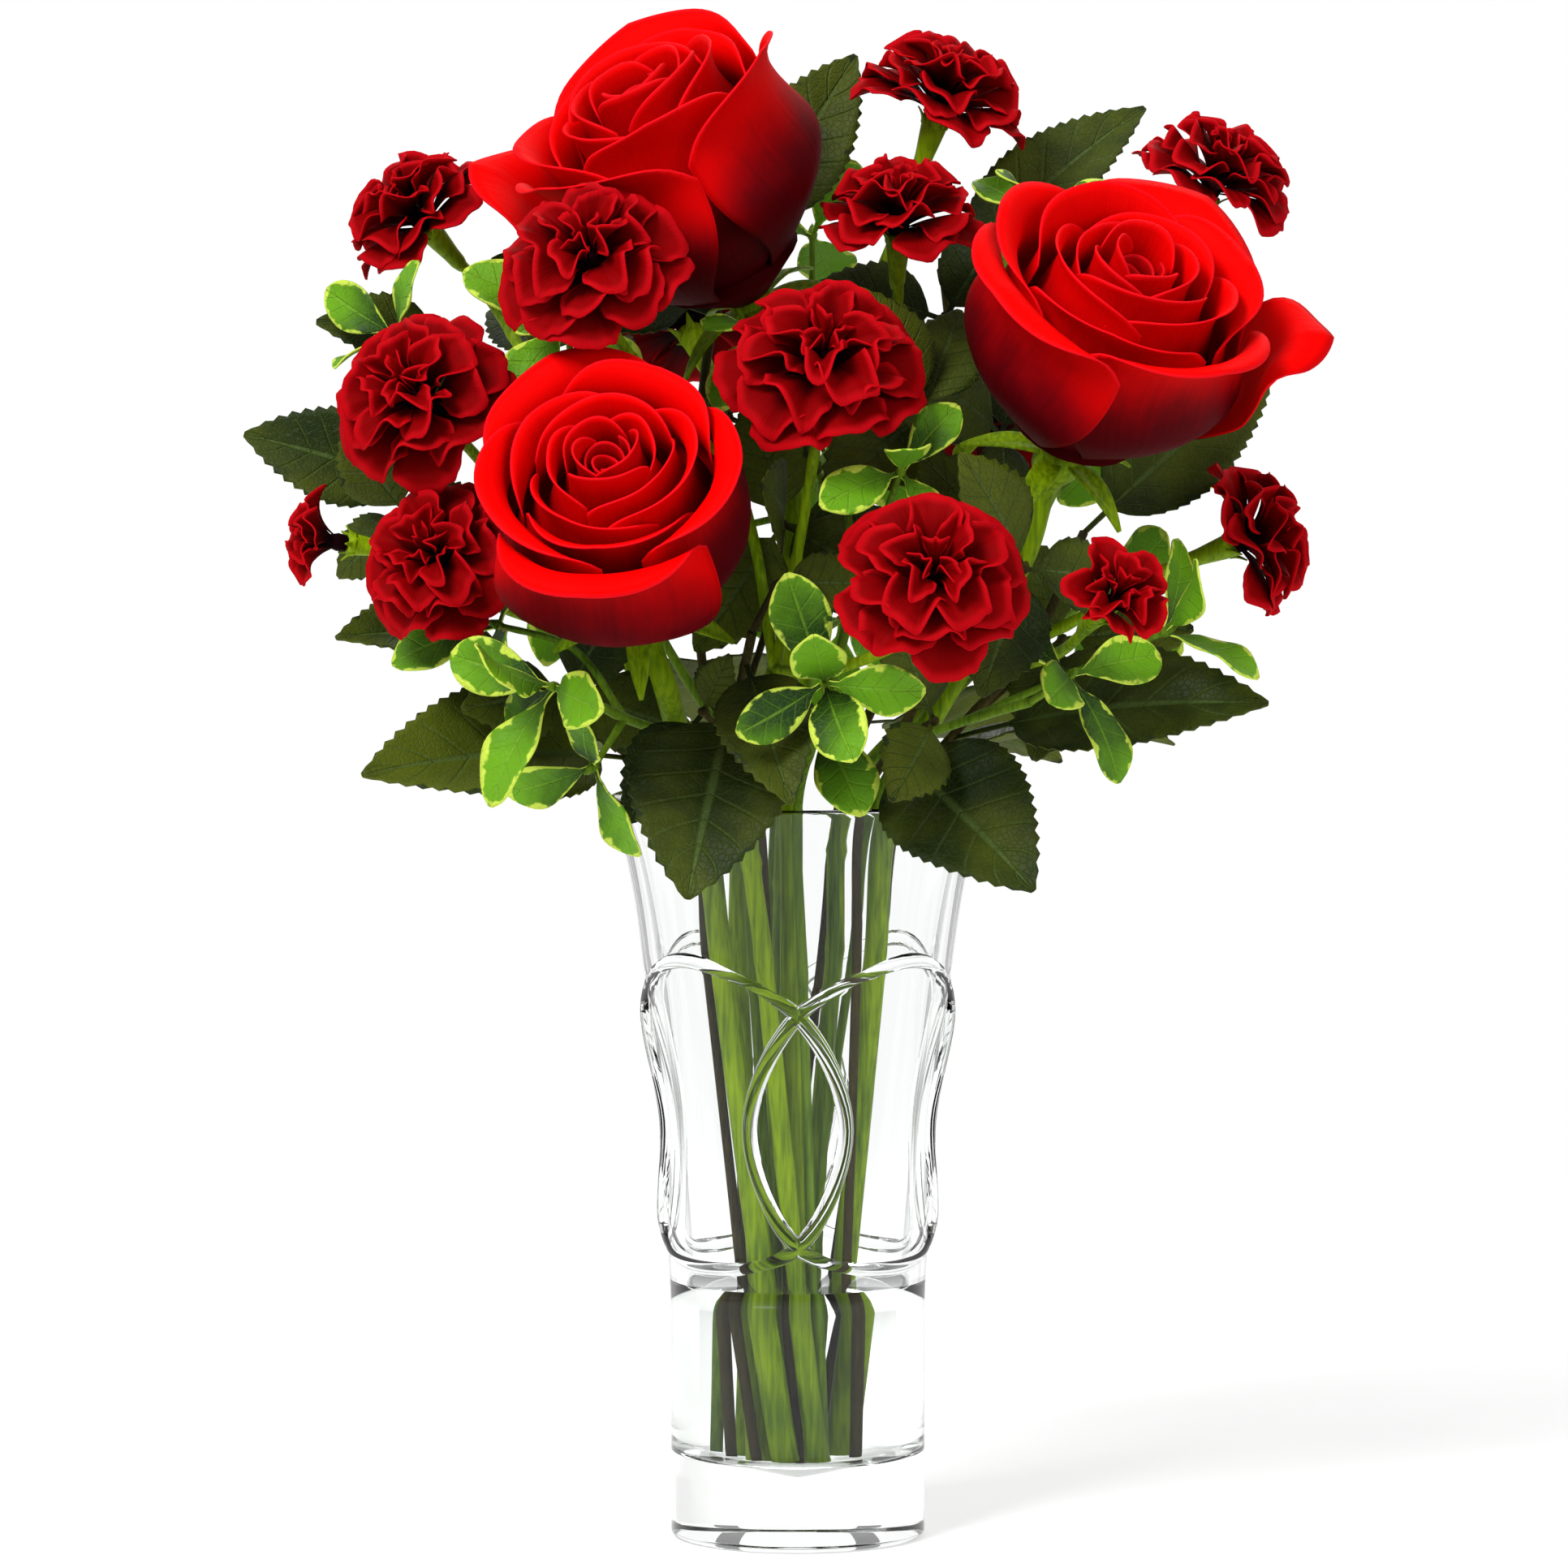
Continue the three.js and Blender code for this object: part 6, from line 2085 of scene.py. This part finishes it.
@dataclass
class Foliation:
    """Finds room for every leaf among the flowers, stems and the vase's rim.

    Balls on a flower's axis are given as (distance along it, radius).
    """

    form: VaseForm
    bundle: StemBundle
    room: Room = field(default_factory=Room)
    spacing: float = 3
    rose_balls: Points = ((42, 41), (20, 31))
    rose_cup: Numbers = (-4, 8)
    sepal_shares: Numbers = (0.2, 0.5, 0.8, 1)
    sepal_room: float = 3
    bloom_ball: Numbers = (8, 23.5)
    calyx_ball: Numbers = (-8, 5)
    rim_start: int = 176
    rim_step: int = 6
    rim_balls: int = 72
    rim_inset: float = 2
    rim_room: float = 2.5
    whorl_tilts: Numbers = (74, 50)
    least_reach: float = 0.86
    reach_step: float = 0.07

    def take_ball(self, site: RoseSite | BloomSite, ball: Numbers, size: float = 1.0) -> None:
        """Takes a ball on a flower's axis.

        Args:
            site: the flower's place.
            ball: the ball's distance along the axis and its radius.
            size: the scale of both.
        """
        along, radius = (measure * size for measure in ball)
        self.room.take([Vector(site.base) + Vector(site.axis).normalized() * along], radius)

    def take_line(self, points: Points, radius: float) -> None:
        """Takes balls along a stem's curve."""
        self.room.take(StemCurve(points).even_line(self.spacing), radius)

    @staticmethod
    def twig(site: LeafSpraySite, whorl: WhorlSite) -> Points:
        """The points of the twig that carries a whorl."""
        return [site.trunk[whorl.fork], *whorl.via, whorl.end]

    def take_flowers(self) -> None:
        """Takes the room of the roses and carnations."""
        for site in ROSES:
            for ball in self.rose_balls:
                self.take_ball(site, ball, site.scale)
            self.take_ball(site, self.rose_cup)
            stem = RoseStem(site, self.bundle)
            axes = looking(site.base, site.axis, site.roll) @ Matrix.Scale(site.scale, 4)
            for turn in SEPAL_TURNS:
                places = [axes @ stem.sepal_point(turn, 0, v) for v in self.sepal_shares]
                self.room.take(places, self.sepal_room)
            line = [*self.bundle.inside(site.slot, ROSE_STEM), *site.route, site.base]
            self.take_line(line, ROSE_STEM)
        for spray in CARNATION_SPRAYS:
            line = [*self.bundle.inside(spray.slot, SPRAY_STEM), *spray.trunk]
            self.take_line(line, SPRAY_STEM)
            for bloom in spray.blooms:
                self.take_ball(bloom, self.bloom_ball, bloom.scale)
                self.take_ball(bloom, self.calyx_ball)
                self.take_line([line[-1], *bloom.via, bloom.base], STALK)

    def take_stems(self) -> None:
        """Takes the room of the leafy stems, their twigs and the vase's rim."""
        for site in LEAF_SPRAYS:
            line = [*self.bundle.inside(site.slot, WOODY_STEM), *site.trunk]
            self.take_line(line, WOODY_STEM)
            for whorl in site.whorls:
                self.take_line(self.twig(site, whorl), TWIG)
        turns = [i / self.rim_balls * FULL_TURN for i in range(self.rim_balls)]
        for z in range(self.rim_start, int(self.form.height) + 1, self.rim_step):
            r = self.form.radius_at(z) - self.rim_inset
            self.room.take([(r * math.cos(a), r * math.sin(a), z) for a in turns], self.rim_room)

    def lay_singles(self, site: LeafSpraySite) -> list[Leaf]:
        """Places the single leaves of one spray.

        Args:
            site: the spray.

        Returns:
            The leaves that found room.
        """
        free = StemCurve([(*site.slot, NECK_HEIGHT), *site.trunk])
        plain = LEAF_FORMS[site.kind]
        laid = []
        for leaf in site.leaves:
            root = free.point(leaf.at)
            stalk = max(plain.stalk, 1 - LONGEST_BLADE / (Vector(leaf.tip) - root).length)
            form = replace(plain, width=leaf.width, stalk=stalk)
            laid.append(self.room.settle(root, Vector(leaf.tip), Vector(leaf.face), form))
        return [leaf for leaf in laid if leaf]

    def lay_whorls(self, site: LeafSpraySite) -> list[Leaf]:
        """Places the whorls of one spray, leaf by leaf.

        Args:
            site: the spray.

        Returns:
            The leaves that found room.
        """
        plain = LEAF_FORMS[site.kind]
        laid = []
        for w, whorl in enumerate(site.whorls):
            frame = looking((0, 0, 0), whorl.axis)
            end = Vector(whorl.end)
            for i in range(whorl.leaves):
                tilt = math.radians(self.whorl_tilts[i % 2])
                out = around(math.sin(tilt), i / whorl.leaves * FULL_TURN + w, math.cos(tilt))
                reach = whorl.length * (self.least_reach + self.reach_step * (i % 3))
                form = replace(plain, width=plain.full * reach, fold=0.0)
                tip = frame @ out * reach + end
                laid.append(self.room.settle(end, tip, Vector(whorl.axis), form))
        return [leaf for leaf in laid if leaf]

    def lay(self) -> dict[str, list[Leaf]]:
        """Places every leaf: all single leaves first, and then the whorls.

        Returns:
            The leaves of each spray, by its name.
        """
        self.take_flowers()
        self.take_stems()
        laid = {site.name: self.lay_singles(site) for site in LEAF_SPRAYS}
        for site in LEAF_SPRAYS:
            laid[site.name] += self.lay_whorls(site)
        return laid


@dataclass
class LeafSpray(SubAssembly):
    """A leafy stem: its bark, twigs and blades."""

    site: LeafSpraySite
    bundle: StemBundle
    leaves: Sequence[Leaf]
    thickness: float = 0.5
    large_leaf: float = 45
    large_columns: int = 12
    small_columns: int = 8
    toothed_rows: Numbers = (24, 46)
    rows_by_length: float = 0.62
    waved_rows: int = 20
    knot: float = 0.16
    knots: float = 31
    trunk_sides: int = 10
    trunk_steps: int = 12
    twig_sides: int = 8
    twig_steps: int = 8
    twig_root: float = 1.05
    twig_taper: float = 0.2
    bud_sides: int = 8
    bud: Points = ((0, -1.4), (1.3, -0.8), (1.5, 0.6), (0.8, 3.0), (0, 4.4))
    seed: int = 3

    def knotted(self, v: float) -> float:
        """How much thicker a stem is near its knots."""
        return 1 + self.knot * max(0.0, math.sin(self.knots * v)) ** 6

    def trunk_radius(self, v: float) -> float:
        """The trunk's radius at a share of its length."""
        return WOODY_STEM * self.knotted(v)

    def twig_radius(self, v: float) -> float:
        """A twig's radius at a share of its length."""
        return TWIG * (self.twig_root - self.twig_taper * v) * self.knotted(v)

    def add_leaf(self, skin: Skin, leaf: Leaf, draw: random.Random) -> None:
        """Adds one leaf's sheet.

        Args:
            skin: the spray's surfaces.
            leaf: the leaf.
            draw: the spray's random numbers.
        """
        phase = draw.uniform(0, 6.3)
        rows = self.waved_rows
        place = partial(leaf.waved_point, phase)
        if self.site.kind is Foliage.DARK:
            rows = int(clamp(leaf.length * self.rows_by_length, *self.toothed_rows))
            place = partial(leaf.toothed_point, rows, phase)
        columns = self.large_columns if leaf.length > self.large_leaf else self.small_columns
        skin.sheet(columns, rows, place, draw.random())

    def build(self) -> bpy.types.Object:
        """Builds the spray and finishes it.

        Returns:
            The piece.
        """
        site = self.site
        draw = random.Random(f"{self.seed}{site.name}")
        skin = Skin()
        for leaf in self.leaves:
            self.add_leaf(skin, leaf, draw)
        skin.thicken(self.thickness)
        trunk = [*self.bundle.inside(site.slot, WOODY_STEM), *site.trunk]
        line = StemCurve(trunk).line(self.trunk_steps)
        skin.tube(line, self.trunk_radius, self.trunk_sides, material=1)
        for whorl in site.whorls:
            twig = StemCurve(Foliation.twig(site, whorl)).line(self.twig_steps)
            skin.tube(twig, self.twig_radius, self.twig_sides, material=1)
            skin.turned(self.bud, self.bud_sides, looking(whorl.end, whorl.axis), material=1)
        dark = site.kind is Foliage.DARK
        blade, bark = (DARK_LEAF, WOODY_BARK) if dark else (CREAM_LEAF, LIME_BARK)
        piece = skin.piece(f"{site.name}_spray", [blade.material, bark.material])
        return stand_for(piece, site.name)


@dataclass(frozen=True)
class SoftLight:
    """A square area light aimed at the bouquet: its place and size in metres and power in watts."""

    name: str
    place: Numbers
    size: float
    power: float


@dataclass
class Studio:
    """A pale floor, soft lights and the camera at the photograph's angle, in metres."""

    eye: Numbers = (0.0, -2.4, 0.4)
    target: Numbers = (-0.00374, 0.0, 0.205)
    lit: Numbers = (0, 0, 0.28)
    frame_width: float = 0.425
    sensor: float = 36.0
    view_end: float = 50.0
    floor_size: float = 6.0
    floor_drop: float = 0.0002
    floor_colour: Colour = (0.95, 0.95, 0.95)
    fade_start: float = 0.15
    fade_end: float = 0.9
    floor_glow: float = 0.32
    flags: int = 8
    flag_colour: Colour = (0.34, 0.34, 0.34)
    flag_half_width: float = 0.13
    flag_half_height: float = 0.8
    flag_place: Numbers = (0, 1.5, 0.5)
    dullness: float = 0.9
    soft_world: float = 0.4
    lights: Sequence[SoftLight] = (
        SoftLight("key_light", (-1.2, -1.6, 2.1), 1.1, 62.0),
        SoftLight("fill_light", (1.6, -1.5, 1.0), 1.6, 14.0),
        SoftLight("back_light", (0.4, 1.9, 1.8), 1.4, 16.0),
    )

    def aim(self, thing: bpy.types.Object, place: Numbers, target: Numbers) -> None:
        """Stands a camera or light at a place, looking at a target.

        Args:
            thing: the camera or light.
            place: where it stands.
            target: what it looks at.
        """
        thing.location = place
        thing.rotation_euler = (Vector(target) - Vector(place)).to_track_quat("-Z", "Y").to_euler()
        bpy.context.scene.collection.objects.link(thing)

    def camera(self) -> None:
        """Makes the scene's camera."""
        data = bpy.data.cameras.new("camera")
        data.sensor_width = self.sensor
        distance = (Vector(self.eye) - Vector(self.target)).length
        data.lens = self.sensor * distance / self.frame_width
        data.clip_end = self.view_end
        camera = bpy.data.objects.new("camera", data)
        self.aim(camera, self.eye, self.target)
        bpy.context.scene.camera = camera

    def light(self, light: SoftLight) -> None:
        """Adds a light.

        Args:
            light: its place, size and power.
        """
        data = bpy.data.lights.new(light.name, "AREA")
        data.size = light.size
        data.energy = light.power
        self.aim(bpy.data.objects.new(light.name, data), light.place, self.lit)

    def surface(self, name: str, colour: Colour) -> bpy.types.Material:
        """A plain dull material for the floor and flags.

        Args:
            name: its name.
            colour: its colour.

        Returns:
            The material.
        """
        made = bpy.data.materials.new(name)
        made.use_nodes = True
        values = {"Base Color": colour, "Roughness": self.dullness, "Specular IOR Level": 0.0}
        Wiring(made.node_tree).fill(made.node_tree.nodes["Principled BSDF"], values)
        return made

    def floor(self) -> None:
        """Lays the pale floor, which fades out and glows faintly so that its shadow stays soft."""
        mesh = bmesh.new()
        bmesh.ops.create_grid(mesh, x_segments=2, y_segments=2, size=self.floor_size / 2)
        floor = mesh_object("pale_floor", mesh)
        floor.location.z = -self.floor_drop
        material = self.surface("pale_floor", self.floor_colour)
        w = Wiring(material.node_tree)
        shader = material.node_tree.nodes["Principled BSDF"]
        reach = w.fill(w.node("ShaderNodeVectorMath", operation="LENGTH"), {0: w.place()})
        fade = w.span(reach.outputs["Value"], self.fade_start, self.fade_end, 1.0, 0.0)
        glow = {"Emission Color": (1.0, 1.0, 1.0), "Emission Strength": self.floor_glow}
        w.fill(shader, {"Alpha": fade, **glow})
        floor.data.materials.append(material)

    def flag_ring(self) -> None:
        """Stands narrow dark flags round the bouquet, which only its glass sees."""
        mesh = bmesh.new()
        size = Matrix.Diagonal((self.flag_half_width, self.flag_half_height, 1, 1))
        upright = Matrix.Translation(self.flag_place) @ Matrix.Rotation(math.pi / 2, 4, "X") @ size
        for i in range(self.flags):
            spot = Matrix.Rotation((i + 0.5) / self.flags * FULL_TURN, 4, "Z") @ upright
            bmesh.ops.create_grid(mesh, x_segments=1, y_segments=1, size=1.0, matrix=spot)
        flags = mesh_object("dark_flags", mesh)
        flags.data.materials.append(self.surface("dark_flags", self.flag_colour))
        flags.visible_camera = False
        flags.visible_diffuse = False
        flags.visible_shadow = False

    def world(self) -> None:
        """Sets an even white surround that lights dull surfaces more softly than it shows."""
        world = bpy.data.worlds.new("white_surround")
        world.use_nodes = True
        bpy.context.scene.world = world
        w = Wiring(world.node_tree)
        background = world.node_tree.nodes["Background"]
        rays = w.node("ShaderNodeLightPath")
        strength = w.span(rays.outputs["Is Diffuse Ray"], 0.0, 1.0, 1.0, self.soft_world)
        w.fill(background, {"Color": (1.0, 1.0, 1.0), "Strength": strength})

    def build(self) -> None:
        """Sets up the whole studio."""
        self.camera()
        self.world()
        self.floor()
        self.flag_ring()
        for light in self.lights:
            self.light(light)
        view = bpy.context.scene.view_settings
        view.view_transform = "Standard"
        view.look = "None"


def main() -> None:
    """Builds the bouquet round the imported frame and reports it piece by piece."""
    logging.basicConfig(level=logging.INFO, format="%(name)s: %(message)s")
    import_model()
    form = VaseForm()
    bundle = StemBundle(form)
    Studio().build()
    parts: list[SubAssembly] = [GlassVase(form), StandingWater(form)]
    for rose in ROSES:
        parts += [RoseHead(rose), RoseStem(rose, bundle)]
    for spray in CARNATION_SPRAYS:
        parts += [CarnationSpray(spray, bundle), *(CarnationBloom(bloom) for bloom in spray.blooms)]
    leaves = Foliation(form, bundle).lay()
    parts += [LeafSpray(site, bundle, leaves[site.name]) for site in LEAF_SPRAYS]
    for part in parts:
        piece = part.build()
        faces = sum(len(polygon.vertices) - 2 for polygon in piece.data.polygons)
        LOG.info("%s is done with %d triangles", piece.name, faces)


if __name__ == "__main__":
    main()
